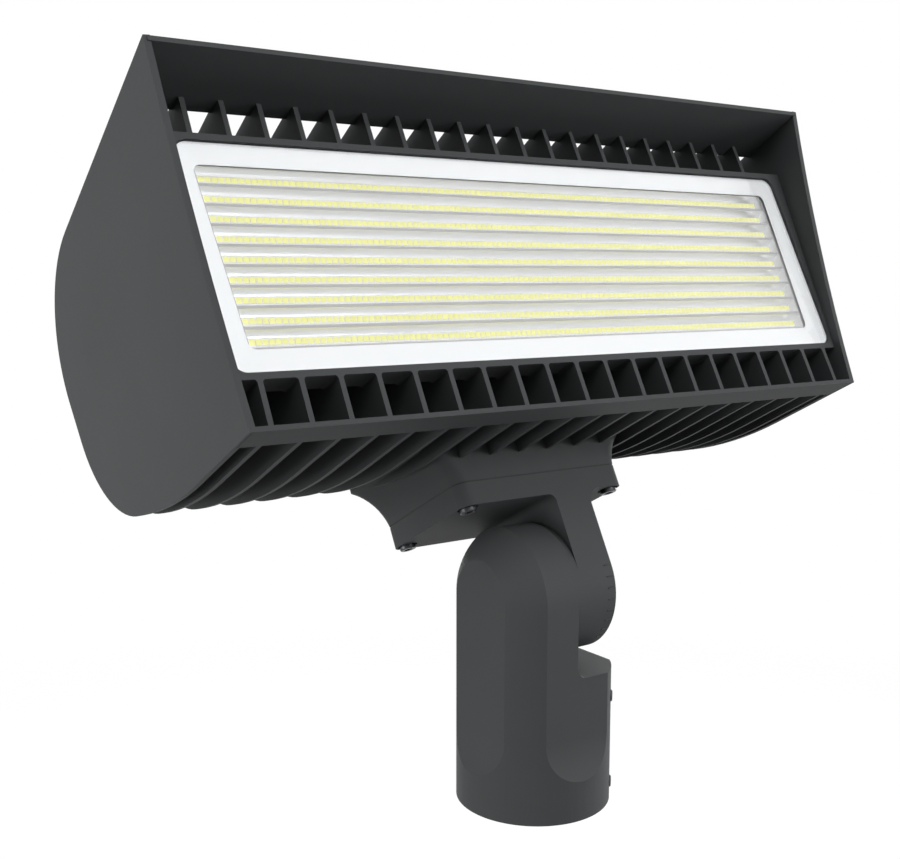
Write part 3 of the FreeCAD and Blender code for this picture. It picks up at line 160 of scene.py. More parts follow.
# Each soft box has its place and its sides in metres and its power in watts, and faces the part.
MIDDLE = Vector((0.0, 0.0, 0.22))
SOFT_BOXES = (
    ("left_box", (-1.95, 0.4, 0.05), (1.2, 1.2), 23.0),
    ("front_box", (0.65, -1.85, 1.0), (1.2, 0.9), 20.0),
    ("right_box", (2.0, -0.9, 0.1), (1.0, 1.0), 14.0),
    ("high_box", (-0.5, -1.1, 1.9), (1.0, 0.8), 10.0),
    ("low_box", (-1.3, -0.3, -0.5), (0.8, 0.8), 0.8),
    ("top_box", (0.6, 0.8, 2.0), (1.2, 1.2), 6.0),
    ("back_box", (0.6, 2.0, 0.5), (1.0, 1.0), 16.0),
    ("far_box", (1.8, 0.9, 0.4), (1.2, 1.0), 18.0),
)
for name, place, sides, watts in SOFT_BOXES:
    lamp = bpy.data.lights.new(name, "AREA")
    lamp.shape = "RECTANGLE"
    lamp.size, lamp.size_y = sides
    lamp.energy = watts
    holder = bpy.data.objects.new(name, lamp)
    holder.location = place
    holder.rotation_mode = "QUATERNION"
    holder.rotation_quaternion = (MIDDLE - Vector(place)).to_track_quat("-Z", "Y")
    scene.collection.objects.link(holder)

# The camera stands in front of the light and to its left, level with the lens, and looks slightly down.
PHOTO_WIDTH, FOCAL_PIXELS, SENSOR = 900, 1195.3, 36.0
CAMERA_PLACE, CAMERA_DIP, CAMERA_TURN = (-0.3775, -0.4589, 0.2672), 7.41, -35.31
camera = bpy.data.cameras.new("camera")
camera.sensor_width = SENSOR
camera.lens = FOCAL_PIXELS * SENSOR / PHOTO_WIDTH
viewer = bpy.data.objects.new("camera", camera)
viewer.location = CAMERA_PLACE
viewer.rotation_euler = (math.radians(90 - CAMERA_DIP), 0, math.radians(CAMERA_TURN))
scene.collection.objects.link(viewer)
scene.camera = viewer


# Housing
# One aluminium die casting carries everything in the head: flared end plates, visor, lip, fins and
# lens tray. It is blasted and powder coated, and the coat softens every cast edge.
MM = 0.001
WELD_MM, FLAT_DEGREES, ROUNDING_STEPS = 0.002, 0.5, 2
CLOUD_DETAIL, GRAIN_DETAIL = 2.0, 3.0


def rounded(name, material, width_mm, corner=30.0, crease=20.0):
    """A copy of a CAD node in its place: edges past the corner angle are rounded, and the weaker ones
    past the crease angle stay crisp."""
    node = frame["nodes"][name]
    work = bmesh.new()
    work.from_mesh(node.data)
    bmesh.ops.remove_doubles(work, verts=work.verts, dist=WELD_MM * MM)
    bmesh.ops.dissolve_limit(
        work, angle_limit=math.radians(FLAT_DEGREES), verts=work.verts, edges=work.edges,
    )
    mesh = bpy.data.meshes.new(f"{name}_rounded")
    work.to_mesh(mesh)
    work.free()
    mesh.shade_smooth()
    mesh.set_sharp_from_angle(angle=math.radians(crease))
    piece = bpy.data.objects.new(f"{name}_rounded", mesh)
    scene.collection.objects.link(piece)
    bevel = piece.modifiers.new("edges", "BEVEL")
    bevel.width = width_mm * MM
    bevel.segments = ROUNDING_STEPS
    bevel.limit_method = "ANGLE"
    bevel.angle_limit = math.radians(corner)
    bevel.harden_normals = True
    evaluated = piece.evaluated_get(bpy.context.evaluated_depsgraph_get())
    finished = bpy.data.meshes.new_from_object(evaluated)
    piece.modifiers.clear()
    piece.data = finished
    finished.materials.clear()
    finished.materials.append(material)
    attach(piece, node["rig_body"])
    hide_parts(name)


def finish(name, colours, cloud_mm, grain_mm, roughness, bump_mm=0.0, stretch=(1, 1, 1), **constants):
    """A surface whose colour drifts between two values in clouds, with a finer grain in its gloss and,
    if it has a bump, in its relief."""
    material, tree, output = new_material(name)
    place = add(tree, "ShaderNodeTexCoord").outputs["Object"]
    drawn = add(tree, "ShaderNodeMapping", {"Vector": place, "Scale": stretch}).outputs[0]
    cloud = add(tree, "ShaderNodeTexNoise", {
        "Vector": drawn, "Scale": 1 / (cloud_mm * MM), "Detail": CLOUD_DETAIL,
    })
    grain = add(tree, "ShaderNodeTexNoise", {
        "Vector": drawn, "Scale": 1 / (grain_mm * MM), "Detail": GRAIN_DETAIL,
    })
    tint = add(tree, "ShaderNodeMix", {
        "Factor": cloud.outputs["Fac"], "A": linear(colours[0]), "B": linear(colours[1]),
    }, data_type="RGBA")
    gloss = add(tree, "ShaderNodeMapRange", {
        "Value": grain.outputs["Fac"], "To Min": roughness[0], "To Max": roughness[1],
    })
    surface = add(tree, "ShaderNodeBsdfPrincipled", {
        "Base Color": tint.outputs["Result"], "Roughness": gloss.outputs[0],
    })
    for socket, value in constants.items():
        surface.inputs[socket.replace("_", " ")].default_value = value
    if bump_mm:
        relief = add(tree, "ShaderNodeBump", {
            "Height": grain.outputs["Fac"], "Strength": 1.0, "Distance": bump_mm * MM,
        })
        tree.links.new(relief.outputs[0], surface.inputs["Normal"])
    tree.links.new(surface.outputs[0], output.inputs["Surface"])
    return material


# Satin polyester powder: an even charcoal with a fine orange peel, 1.2 mm across, and little shine.
charcoal = finish(
    "charcoal_powder_coat", ("#444647", "#4a4c4d"), cloud_mm=60, grain_mm=1.2, roughness=(0.56, 0.68),
    bump_mm=0.012, Specular_IOR_Level=0.12,
)
rounded("housing", charcoal, width_mm=0.5)


# Heat path
# A rolled aluminium plate closes the driver chamber and spreads the heat of the LEDs into the tray's
# ledge, through a soft grey pad. Countersunk steel screws hold it round its edge.
def dressed(name, material):
    """A CAD node that keeps its own shape takes a material."""
    for held in frame["nodes"][name].material_slots:
        held.material = material


# Rolled sheet shows fine streaks along the mill's direction.
rolled_aluminium = finish(
    "rolled_aluminium", ("#c4c6c8", "#d2d4d6"), cloud_mm=12, grain_mm=0.8, roughness=(0.28, 0.42),
    stretch=(0.05, 1, 1), Metallic=1.0,
)
# Filled silicone looks dull and slightly mottled.
heat_pad = finish(
    "filled_silicone_pad", ("#7f858c", "#8b9097"), cloud_mm=8, grain_mm=0.5, roughness=(0.75, 0.9),
    bump_mm=0.02,
)
# Black oxide on steel keeps a dark, oily shine.
black_oxide = finish(
    "black_oxide_steel", ("#3a3b3d", "#4a4b4e"), cloud_mm=6, grain_mm=0.4, roughness=(0.26, 0.4),
    Metallic=1.0,
)
dressed("led_plate", rolled_aluminium)
dressed("thermal_pad", heat_pad)
dressed("plate_screws", black_oxide)


# LED board
# A metal-core circuit board under white solder mask. It carries nine rows of white packages, soldered
# side by side, each with a low dome of yellow phosphor resin.
PIVOT_HEIGHT, AIM, QUARTER = 108.0, math.radians(28), math.radians(90)
to_metres = Matrix.Scale(MM, 4)
pivot_mm = to_metres @ Matrix.Translation((0, 0, PIVOT_HEIGHT))
head_mm = pivot_mm @ Matrix.Rotation(-AIM, 4, "X")
ROWS, ROW_PITCH, WINDOW_FLOOR = 9, 9.3556, 101.8
ROW_SILL, ROW_SLOT = 2.3, 3.4
BOARD_FRONT = 81.7
TROUGH_FOOT, TROUGH_FLARE = 168.8, 0.064
LEDS, LED_PITCH, LED_HALF, LED_HIGH, LED_EASE = 113, 3.0, 1.42, 0.6, 0.1
RESIN_HALF, RESIN_CUT, RESIN_EDGE, RESIN_CROWN, RESIN_SHOULDER = 1.32, 0.4, 0.02, 0.1, 0.35


def trough_half(level):
    """Half the length of a trough at a level: the window widens upwards, like the lens."""
    return TROUGH_FOOT + (level - WINDOW_FLOOR) * TROUGH_FLARE


def inputs_tree(name, sockets):
    """An empty Geometry Nodes tree with these named inputs, and the sockets of its group input."""
    tree = bpy.data.node_groups.new(name, "GeometryNodeTree")
    for label, kind in sockets:
        tree.interface.new_socket(label, in_out="INPUT", socket_type=f"NodeSocket{kind}")
    tree.interface.new_socket("Geometry", in_out="OUTPUT", socket_type="NodeSocketGeometry")
    return tree, add(tree, "NodeGroupInput").outputs


def end_tree(tree, points, given, rotation=None):
    """Put the piece on every point, make the copies real and give them their finish."""
    held = add(tree, "GeometryNodeObjectInfo", {"Object": given["Piece"]}, transform_space="ORIGINAL")
    links = {"Points": points, "Instance": held.outputs["Geometry"]}
    if rotation:
        links["Rotation"] = rotation
    copies = add(tree, "GeometryNodeInstanceOnPoints", links)
    real = add(tree, "GeometryNodeRealizeInstances", {"Geometry": copies.outputs["Instances"]})
    coated = add(tree, "GeometryNodeSetMaterial", {
        "Geometry": real.outputs["Geometry"], "Material": given["Finish"],
    })
    add(tree, "NodeGroupOutput", {"Geometry": coated.outputs["Geometry"]})


grid_tree, given = inputs_tree("rows_of_pieces", (
    ("Piece", "Object"), ("Columns", "Int"), ("Rows", "Int"), ("Column Step", "Float"),
    ("Row Step", "Float"), ("Finish", "Material"),
))
spans = []
for count, step in (("Columns", "Column Step"), ("Rows", "Row Step")):
    gaps = add(grid_tree, "ShaderNodeMath", {0: given[count], 1: 1.0}, operation="SUBTRACT")
    span = add(grid_tree, "ShaderNodeMath", {0: gaps.outputs[0], 1: given[step]}, operation="MULTIPLY")
    spans.append(span.outputs[0])
grid = add(grid_tree, "GeometryNodeMeshGrid", {
    "Size X": spans[0], "Size Y": spans[1],
    "Vertices X": given["Columns"], "Vertices Y": given["Rows"],
})
end_tree(grid_tree, grid.outputs["Mesh"], given)


def repeated(name, tree, mesh, **inputs):
    """The plain mesh that a tree makes of one piece's mesh."""
    piece = bpy.data.objects.new(f"{name}_piece", mesh)
    carrier = bpy.data.objects.new(name, bpy.data.meshes.new(name))
    scene.collection.objects.link(carrier)
    modifier = carrier.modifiers.new(tree.name, "NODES")
    modifier.node_group = tree
    inputs["Piece"] = piece
    for item in tree.interface.items_tree:
        if item.in_out == "INPUT":
            modifier[item.identifier] = inputs[item.name.replace(" ", "_")]
    evaluated = carrier.evaluated_get(bpy.context.evaluated_depsgraph_get())
    made = bpy.data.meshes.new_from_object(evaluated)
    bpy.data.objects.remove(carrier)
    bpy.data.objects.remove(piece)
    return made


def mesh_of(name, work, *materials):
    """A bmesh, in millimetres, as a mesh with its faces turned outwards and its materials."""
    bmesh.ops.recalc_face_normals(work, faces=work.faces)
    mesh = bpy.data.meshes.new(name)
    work.to_mesh(mesh)
    work.free()
    for material in materials:
        mesh.materials.append(material)
    return mesh


def placed(name, mesh, place, body, slot, *nodes, corner=35.0):
    """A mesh as a finished piece in its place, which rides on a body and stands for CAD nodes. Edges
    past the corner angle stay crisp."""
    mesh.transform(place)
    mesh.shade_smooth()
    mesh.set_sharp_from_angle(angle=math.radians(corner))
    piece = bpy.data.objects.new(name, mesh)
    scene.collection.objects.link(piece)
    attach(piece, body)
    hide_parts(*nodes)


def skin(work, rings, caps=(), joined=False):
    """Quads from each ring of points to the next, and from the last to the first if they are joined,
    with a face over each ring whose number is in caps."""
    for first, second in zip(rings, rings[1:] + rings[:1] if joined else rings[1:]):
        for i in range(len(first)):
            j = (i + 1) % len(first)
            work.faces.new((first[i], first[j], second[j], second[i]))
    for number in caps:
        work.faces.new(rings[number])


def block(name, cut, steps):
    """A block, open below, of squares with cut corners. A step is half a square's side and its level."""
    work = bmesh.new()
    rings = []
    for half, level in steps:
        ring = []
        for x, y in ((-1, -1), (1, -1), (1, 1), (-1, 1)):
            before, after = (x * half, y * (half - cut)), (x * (half - cut), y * half)
            for point in (before, after) if x * y > 0 else (after, before):
                ring.append(work.verts.new((*point, level)))
        rings.append(ring)
    skin(work, rings, caps=(-1,))
    return mesh_of(name, work)


package = block("led_package", LED_EASE, (
    (LED_HALF, 0.0), (LED_HALF, LED_HIGH - LED_EASE), (LED_HALF - LED_EASE, LED_HIGH),
))
phosphor_dome = block("phosphor_dome", RESIN_CUT, (
    (RESIN_HALF, LED_HIGH - LED_EASE / 2), (RESIN_HALF, LED_HIGH + RESIN_EDGE),
    (RESIN_HALF - RESIN_SHOULDER, LED_HIGH + RESIN_CROWN),
))
# White moulded packages have a faint gloss.
package_white = finish(
    "white_led_package", ("#f1f1ec", "#f7f7f3"), cloud_mm=20, grain_mm=1.0, roughness=(0.35, 0.5),
)
# Phosphor resin is a matte, pale yellow that varies a little from place to place.
phosphor = finish(
    "yellow_phosphor_resin", ("#e9e98c", "#efef9e"), cloud_mm=14, grain_mm=1.5, roughness=(0.45, 0.6),
    bump_mm=0.01,
)
# Solder mask is an even white with a faint sheen.
solder_mask = finish(
    "white_solder_mask", ("#eef0f0", "#f5f6f6"), cloud_mm=25, grain_mm=0.8, roughness=(0.35, 0.5),
    bump_mm=0.004,
)
dressed("led_board", solder_mask)
middle_level = WINDOW_FLOOR + ROW_SILL + ROW_SLOT / 2 + ROW_PITCH * (ROWS - 1) / 2
middle_half = trough_half(middle_level)
board_face = (
    head_mm @ Matrix.Translation((0, -BOARD_FRONT, middle_level)) @ Matrix.Rotation(QUARTER, 4, "X")
)
for name, shape, material in (
    ("led_packages", package, package_white), ("led_phosphor", phosphor_dome, phosphor),
):
    mesh = repeated(name, grid_tree, shape, Columns=LEDS, Rows=ROWS, Column_Step=LED_PITCH,
                    Row_Step=ROW_PITCH, Finish=material)
    for vertex in mesh.vertices:
        row = round(vertex.co.y / ROW_PITCH)
        vertex.co.x *= 1 + row * ROW_PITCH * TROUGH_FLARE / middle_half
    placed(name, mesh, board_face, "head", "phosphor", "led_rows")


# Reflector
# A glossy white moulding behind the glass, with one trough for each LED row: a plain slope below the
# slot, a curved wall above it and bevelled ends.
REFLECTOR_FRONT, REFLECTOR_DEPTH = 85.7, 4.0
REFLECTOR_HALF, REFLECTOR_FLOOR, REFLECTOR_TOP = 176.76, 93.0, 190.4
DIVIDER, TROUGH_RADIUS, TROUGH_END, LAND_DEPTH, SLOT_SLACK = 1.3, 7.0, 1.6, 0.3, 0.01
ARC_STEPS, SLOPE_STEPS, END_STEPS = 8, 4, 6


def trough_profile():
    """Height above the trough's floor and depth behind the front, from one divider up to the next."""
    slope = [i / SLOPE_STEPS for i in range(SLOPE_STEPS + 1)]
    points = [(ROW_SILL * share, REFLECTOR_DEPTH * share) for share in slope]
    foot = Vector((ROW_SILL + ROW_SLOT, REFLECTOR_DEPTH))
    brow = Vector((ROW_PITCH - DIVIDER, 0.0))
    chord = brow - foot
    inward = Vector((chord.y, -chord.x)).normalized()
    centre = (foot + brow) / 2 + inward * math.sqrt(TROUGH_RADIUS ** 2 - (chord.length / 2) ** 2)
    start, end = (math.atan2(p.y - centre.y, p.x - centre.x) for p in (foot, brow))
    for i in range(ARC_STEPS + 1):
        angle = start + (end - start) * i / ARC_STEPS
        height = centre.x + TROUGH_RADIUS * math.cos(angle)
        points.append((height, centre.y + TROUGH_RADIUS * math.sin(angle)))
    return points


profile = trough_profile()
levels = [(REFLECTOR_FLOOR, 0.0)]
for row in range(ROWS):
    levels += [(WINDOW_FLOOR + row * ROW_PITCH + rise, depth) for rise, depth in profile]
levels.append((REFLECTOR_TOP, 0.0))
ends = [TROUGH_END * i / END_STEPS for i in range(END_STEPS + 1)]
work = bmesh.new()
lines = []
for level, depth in levels:
    half = trough_half(level)
    line = [(-REFLECTOR_HALF, 0.0)]
    line += [(-half + end, min(depth, REFLECTOR_DEPTH * end / TROUGH_END)) for end in ends]
    line += [(-x, deep) for x, deep in reversed(line)]
    lines.append([work.verts.new((x, -REFLECTOR_FRONT + deep, level)) for x, deep in line])
reflector_back = -REFLECTOR_FRONT + REFLECTOR_DEPTH
for lower, upper in zip(lines, lines[1:]):
    for i in range(len(lower) - 1):
        corners = (lower[i], lower[i + 1], upper[i + 1], upper[i])
        depths = [corner.co.y for corner in corners]
        if min(depths) < reflector_back - SLOT_SLACK:
            face = work.faces.new(corners)
            # Faces within the land depth of the front take the second material, the grey of painted
            # shade.
            face.material_index = int(max(depths) < -REFLECTOR_FRONT + LAND_DEPTH)
right, left = ([line[end] for line in lines[1:-1]] for end in (-1, 0))
rim = lines[0] + right + lines[-1][::-1] + left[::-1]
skin(work, [rim, [work.verts.new((v.co.x, reflector_back, v.co.z)) for v in rim]])
# Glossy moulding with a bright skin: its steep walls weakly mirror the yellow of the LEDs.
gloss_white = finish(
    "gloss_white_moulding", ("#e9eaec", "#f0f1f3"), cloud_mm=40, grain_mm=6.0, roughness=(0.16, 0.2),
    Metallic=0.6,
)
# The lands between the troughs are painted a duller grey: painted shade for the shadowed fronts of the
# dividers. Their skin is also rougher, with a fine bump.
painted_shade_lands = finish(
    "etched_white_moulding", ("#a6a5a7", "#b0afb1"), cloud_mm=30, grain_mm=0.8, roughness=(0.5, 0.65),
    bump_mm=0.01,
)
mesh = mesh_of("reflector_troughs", work, gloss_white, painted_shade_lands)
placed("reflector_troughs", mesh, head_mm, "head", "white_moulding", "reflector")


# Lens
# A pane of clear tempered glass in a silicone frame. Its back is ground to a shallow bevel round the
# clear window, and a white enamel border is fired on that bevel and on the edge.
GLASS_FRONT, GLASS_EDGE, GLASS_BEVEL, GLASS_BACK, GLASS_EASE = 90.0, 89.5, 88.6, 87.0, 0.2
GLASS_FLOOR, GLASS_TOP, GLASS_FOOT_HALF, GLASS_TOP_HALF = 89.65, 193.75, 180.1, 182.55
CLEAR_FLOOR, CLEAR_TOP, CLEAR_FOOT_HALF, CLEAR_TOP_HALF = 100.6, 184.7, 169.8, 175.2
GLASS_CORNER, CLEAR_CORNER, CORNER_STEPS = 5.6, 3.6, 6
PRINT_GAP, PRINT_THICK = 0.03, 0.1
WAVE_MM, WAVE_HIGH_MM = 90, 0.15


def lens_outline(floor, top, foot_half, top_half, inset=0.0):
    """The corners, counterclockwise, of an outline that widens upwards, moved inwards by an inset."""
    foot, brow = foot_half - inset, top_half - inset
    return ((-foot, floor + inset), (foot, floor + inset), (brow, top - inset), (-brow, top - inset))


def lens_ring(work, outline, radius, ahead):
    """A ring of points round the lens at a distance ahead of the tilt axis, with arcs at its corners."""
    ring = []
    for i, corner in enumerate(outline):
        here = Vector(corner)
        neighbours = (Vector(outline[(i + turn) % len(outline)]) for turn in (-1, 1))
        before, after = ((neighbour - here).normalized() for neighbour in neighbours)
        opening = before.angle(after)
        middle = here + (before + after).normalized() * radius / math.sin(opening / 2)
        start = here + before * radius / math.tan(opening / 2) - middle
        for step in range(CORNER_STEPS + 1):
            arm = start.copy()
            arm.rotate(Matrix.Rotation((math.pi - opening) * step / CORNER_STEPS, 2))
            point = middle + arm
            ring.append(work.verts.new((point.x, -ahead, point.y)))
    return ring


GLASS_SIZE = (GLASS_FLOOR, GLASS_TOP, GLASS_FOOT_HALF, GLASS_TOP_HALF)
glass_outline = lens_outline(*GLASS_SIZE)
glass_face = lens_outline(*GLASS_SIZE, inset=GLASS_EASE)
clear_outline = lens_outline(CLEAR_FLOOR, CLEAR_TOP, CLEAR_FOOT_HALF, CLEAR_TOP_HALF)
printed = (
    (glass_outline, GLASS_CORNER, GLASS_EDGE), (glass_face, GLASS_CORNER - GLASS_EASE, GLASS_BEVEL),
    (clear_outline, CLEAR_CORNER, GLASS_BACK),
)
work = bmesh.new()
near, far = (
    [lens_ring(work, outline, radius, ahead - behind) for outline, radius, ahead in printed]
    for behind in (PRINT_GAP, PRINT_GAP + PRINT_THICK)
)
skin(work, near + far[::-1], joined=True)
# Fired enamel is an even, slightly bluish white.
enamel = finish(
    "white_fired_enamel", ("#f6f9fb", "#fafcfe"), cloud_mm=50, grain_mm=1.5, roughness=(0.4, 0.5),
)
placed("enamel_border", mesh_of("enamel_border", work, enamel), head_mm, "head", "lens", "lens_glass")

# A flat pane hardly shifts what is behind it, so light goes straight through, and the mirror of the
# glass, with its usual 1.52 and the slow waves that tempering leaves, is a coat on it. Lamps shine
# through it without a shadow.
clear_glass, tree, output = new_material("clear_tempered_glass")
place = add(tree, "ShaderNodeTexCoord").outputs["Object"]
wave = add(tree, "ShaderNodeTexNoise", {"Vector": place, "Scale": 1 / (WAVE_MM * MM), "Detail": 1.0})
ripple = add(tree, "ShaderNodeBump", {
    "Height": wave.outputs["Fac"], "Strength": 1.0, "Distance": WAVE_HIGH_MM * MM,
})
pane = add(tree, "ShaderNodeBsdfPrincipled", {
    "Base Color": linear("#ffffff"), "Roughness": 0.0, "IOR": 1.0, "Transmission Weight": 1.0,
    "Coat Weight": 0.8, "Coat Roughness": 0.02, "Coat IOR": 1.52, "Coat Normal": ripple.outputs[0],
})
through = add(tree, "ShaderNodeBsdfTransparent", {"Color": linear("#ffffff")})
path = add(tree, "ShaderNodeLightPath")
lamplight = add(tree, "ShaderNodeMath", {
    0: path.outputs["Is Shadow Ray"], 1: path.outputs["Diffuse Depth"],
}, operation="MAXIMUM", use_clamp=True)
mixed = add(tree, "ShaderNodeMixShader", {
    0: lamplight.outputs[0], 1: pane.outputs[0], 2: through.outputs[0],
})
tree.links.new(mixed.outputs[0], output.inputs["Surface"])
work = bmesh.new()
front = (
    (glass_face, GLASS_CORNER - GLASS_EASE, GLASS_FRONT),
    (glass_outline, GLASS_CORNER, GLASS_FRONT - GLASS_EASE),
)
rings = [lens_ring(work, outline, radius, ahead) for outline, radius, ahead in front + printed]
skin(work, rings, caps=(0, -1))
mesh = mesh_of("lens_pane", work, clear_glass)
placed("lens_pane", mesh, head_mm, "head", "lens", "lens_glass", corner=15.0)
# Silicone and rubber are matte black with a dusty grain.
rubber = finish(
    "black_silicone_rubber", ("#191a1b", "#202122"), cloud_mm=10, grain_mm=0.6, roughness=(0.6, 0.8),
    bump_mm=0.01,
)
dressed("lens_gasket", rubber)


# Driver chamber
# The power supply is a plain extruded can, potted, on a grey pad. A moulded vent lets the chamber
# breathe and a rubber grommet lines the hole for the wires.
dressed("driver_pad", heat_pad)
dressed("driver_screws", black_oxide)
dressed("wire_grommet", rubber)
# The can shows the lines of its extrusion, and shines less than rolled sheet.
extruded_can = finish(
    "extruded_aluminium_can", ("#bcbec0", "#c9cbcd"), cloud_mm=20, grain_mm=0.9, roughness=(0.35, 0.5),
    stretch=(0.06, 1, 1), Metallic=1.0,
)
dressed("driver", extruded_can)
# Moulded nylon is a dull black with a fine, even grain.
moulded_black = finish(
    "black_moulded_nylon", ("#1c1d1e", "#232425"), cloud_mm=15, grain_mm=0.5, roughness=(0.45, 0.6),
    bump_mm=0.012,
)
rounded("breather_vent", moulded_black, width_mm=0.5)


# Bracket
# The arm under the head is a smaller casting with the same coat. Four socket screws on washers hold
# it, and a thin rubber gasket seals it against the pad.
def turned(name, rings, *materials, segments=24, joined=False):
    """A turned mesh along Z, with an end face at its first and last ring or joined to a hoop. A ring is
    (radius, level), or (across, level, limit) for a hexagon with its corners within a limit radius."""
    work = bmesh.new()
    loops = []
    for size, level, *limit in rings:
        loop = []
        for i in range(segments):
            angle = 2 * math.pi * i / segments
            radius = size
            if limit:
                side = math.fmod(angle, math.pi / 3) - math.pi / 6
                radius = min(size / 2 / math.cos(side), limit[0])
            loop.append(work.verts.new((radius * math.cos(angle), radius * math.sin(angle), level)))
        loops.append(loop)
    skin(work, loops, caps=() if joined else (0, -1), joined=joined)
    return mesh_of(name, work, *materials)


rounded("bracket", charcoal, width_mm=1.2)
dressed("bracket_gasket", rubber)
SCREW_SPAN, SCREW_DEPTH, SCREW_MIDDLE = 90.4, 59.8, 3.5
HEAD_SEAT, HEAD_FACE, HEAD_RADIUS, HEAD_EASE = 41.2, 37.9, 4.3, 0.45
SHANK_TIP, SHANK_RADIUS, POINT_RADIUS, POINT_LONG = 65.9, 2.5, 1.75, 1.0
KEY, KEY_DEPTH, KEY_LEAD, KEY_LEAD_DEPTH, NO_LIMIT = 4.0, 2.0, 0.5, 0.25, 20.0
four_corners = {"Columns": 2, "Rows": 2, "Column_Step": SCREW_SPAN, "Row_Step": SCREW_DEPTH}
screw = turned("socket_screw", (
    (POINT_RADIUS, SHANK_TIP), (SHANK_RADIUS, SHANK_TIP - POINT_LONG), (SHANK_RADIUS, HEAD_SEAT),
    (HEAD_RADIUS, HEAD_SEAT), (HEAD_RADIUS, HEAD_FACE + HEAD_EASE), (HEAD_RADIUS - HEAD_EASE, HEAD_FACE),
    (KEY + KEY_LEAD, HEAD_FACE, NO_LIMIT), (KEY, HEAD_FACE + KEY_LEAD_DEPTH, NO_LIMIT),
    (KEY, HEAD_FACE + KEY_DEPTH, NO_LIMIT),
))
mesh = repeated("bracket_screw_heads", grid_tree, screw, Finish=black_oxide, **four_corners)
under_pad = head_mm @ Matrix.Translation((0, SCREW_MIDDLE, 0))
placed("bracket_screw_heads", mesh, under_pad, "head", "screw_steel", "bracket_screws")

WASHER_RADIUS, WASHER_HOLE, WASHER_TOP, WASHER_EASE = 5.0, 2.8, 42.2, 0.2
washer = turned("washer", (
    (WASHER_HOLE, WASHER_TOP), (WASHER_RADIUS - WASHER_EASE, WASHER_TOP),
    (WASHER_RADIUS, WASHER_TOP - WASHER_EASE), (WASHER_RADIUS, HEAD_SEAT + WASHER_EASE),
    (WASHER_RADIUS - WASHER_EASE, HEAD_SEAT), (WASHER_HOLE, HEAD_SEAT),
), joined=True)
# Zinc plate is paler than the screws, with a soft shine.
zinc = finish(
    "zinc_plated_steel", ("#8d9093", "#9da0a3"), cloud_mm=5, grain_mm=0.5, roughness=(0.3, 0.45),
    Metallic=1.0,
)
mesh = repeated("washer_rings", grid_tree, washer, Finish=zinc, **four_corners)
placed("washer_rings", mesh, under_pad, "head", "screw_steel", "bracket_washers")

# Cast graduations stand on the rim of the knuckle disc, in steps of ten degrees, to set the tilt by.
ring_tree, given = inputs_tree("pieces_round_an_axis", (
    ("Piece", "Object"), ("Count", "Int"), ("Start", "Float"), ("Sweep", "Float"), ("Finish", "Material"),
))
line = add(ring_tree, "GeometryNodeMeshLine", {"Count": given["Count"], "Offset": (0, 0, 0)})
gaps = add(ring_tree, "ShaderNodeMath", {0: given["Count"], 1: 1.0}, operation="SUBTRACT")
index = add(ring_tree, "GeometryNodeInputIndex")
share = add(ring_tree, "ShaderNodeMath", {0: index.outputs[0], 1: gaps.outputs[0]}, operation="DIVIDE")
turn = add(ring_tree, "ShaderNodeMath", {
    0: share.outputs[0], 1: given["Sweep"], 2: given["Start"],
}, operation="MULTIPLY_ADD")
about = add(ring_tree, "ShaderNodeCombineXYZ", {"Z": turn.outputs[0]})
end_tree(ring_tree, line.outputs["Mesh"], given, about.outputs[0])

DISC_RADIUS, TICK_IN, TICK_OUT = 33.0, 20.6, 24.4
TICK_HALF, TICK_HIGH, TICK_SUNK, TICK_DRAFT = 0.45, 0.4, 0.3, 0.2
TICKS, TICK_STEP, TICK_START = 15, 10.0, -70.0
work = bmesh.new()
rings = []
for radius, half, draft in (
    (DISC_RADIUS - TICK_SUNK, TICK_HALF, 0.0), (DISC_RADIUS + TICK_HIGH, TICK_HALF / 2, TICK_DRAFT),
):
    near, far = TICK_IN + draft, TICK_OUT - draft
    corners = ((-half, near), (half, near), (half, far), (-half, far))
    rings.append([work.verts.new((radius, y, z)) for y, z in corners])
skin(work, rings, caps=(-1,))
mesh = repeated("tilt_marks", ring_tree, mesh_of("tilt_mark", work), Count=TICKS, Finish=charcoal,
                Start=math.radians(TICK_START), Sweep=math.radians(TICK_STEP * (TICKS - 1)))
along_x = Matrix.Rotation(QUARTER, 4, "Y")
forward = Matrix.Rotation(-QUARTER, 4, "Z")
placed("tilt_marks", mesh, head_mm @ along_x @ forward, "head", "coated_casting")


# Slipfitter
# The socket for the pole's tenon: a round casting with four flats and a tongue for the knuckle, coated
# like the head. Two pairs of set screws clamp the tenon.
rounded("slipfitter", charcoal, width_mm=0.9, corner=35.0, crease=12.0)
SET_IN, SET_OUT, SET_RADIUS, SET_EASE, SET_POINT_RADIUS, SET_POINT_LONG = 31.4, 40.4, 3.0, 0.45, 1.8, 0.8
SET_KEY, SET_KEY_DEPTH, SET_KEY_LEAD, SET_KEY_LEAD_DEPTH = 3.0, 2.6, 0.3, 0.2
SET_START, SET_SWEEP = math.radians(-45), math.radians(90)
SET_LEVELS = (("set_screws_low", 9.0), ("set_screws_high", 54.5))
for name, level in SET_LEVELS:
    screw = turned("set_screw", (
        (SET_POINT_RADIUS, SET_IN), (SET_RADIUS, SET_IN + SET_POINT_LONG),
        (SET_RADIUS, SET_OUT - SET_EASE), (SET_RADIUS - SET_EASE, SET_OUT),
        (SET_KEY + SET_KEY_LEAD, SET_OUT, NO_LIMIT), (SET_KEY, SET_OUT - SET_KEY_LEAD_DEPTH, NO_LIMIT),
        (SET_KEY, SET_OUT - SET_KEY_DEPTH, NO_LIMIT),
    ))
    screw.transform(Matrix.Translation((0, 0, level)) @ along_x)
    mesh = repeated(name, ring_tree, screw, Count=2, Start=SET_START, Sweep=SET_SWEEP, Finish=black_oxide)
    placed(name, mesh, to_metres, "base", "screw_steel", "set_screws")


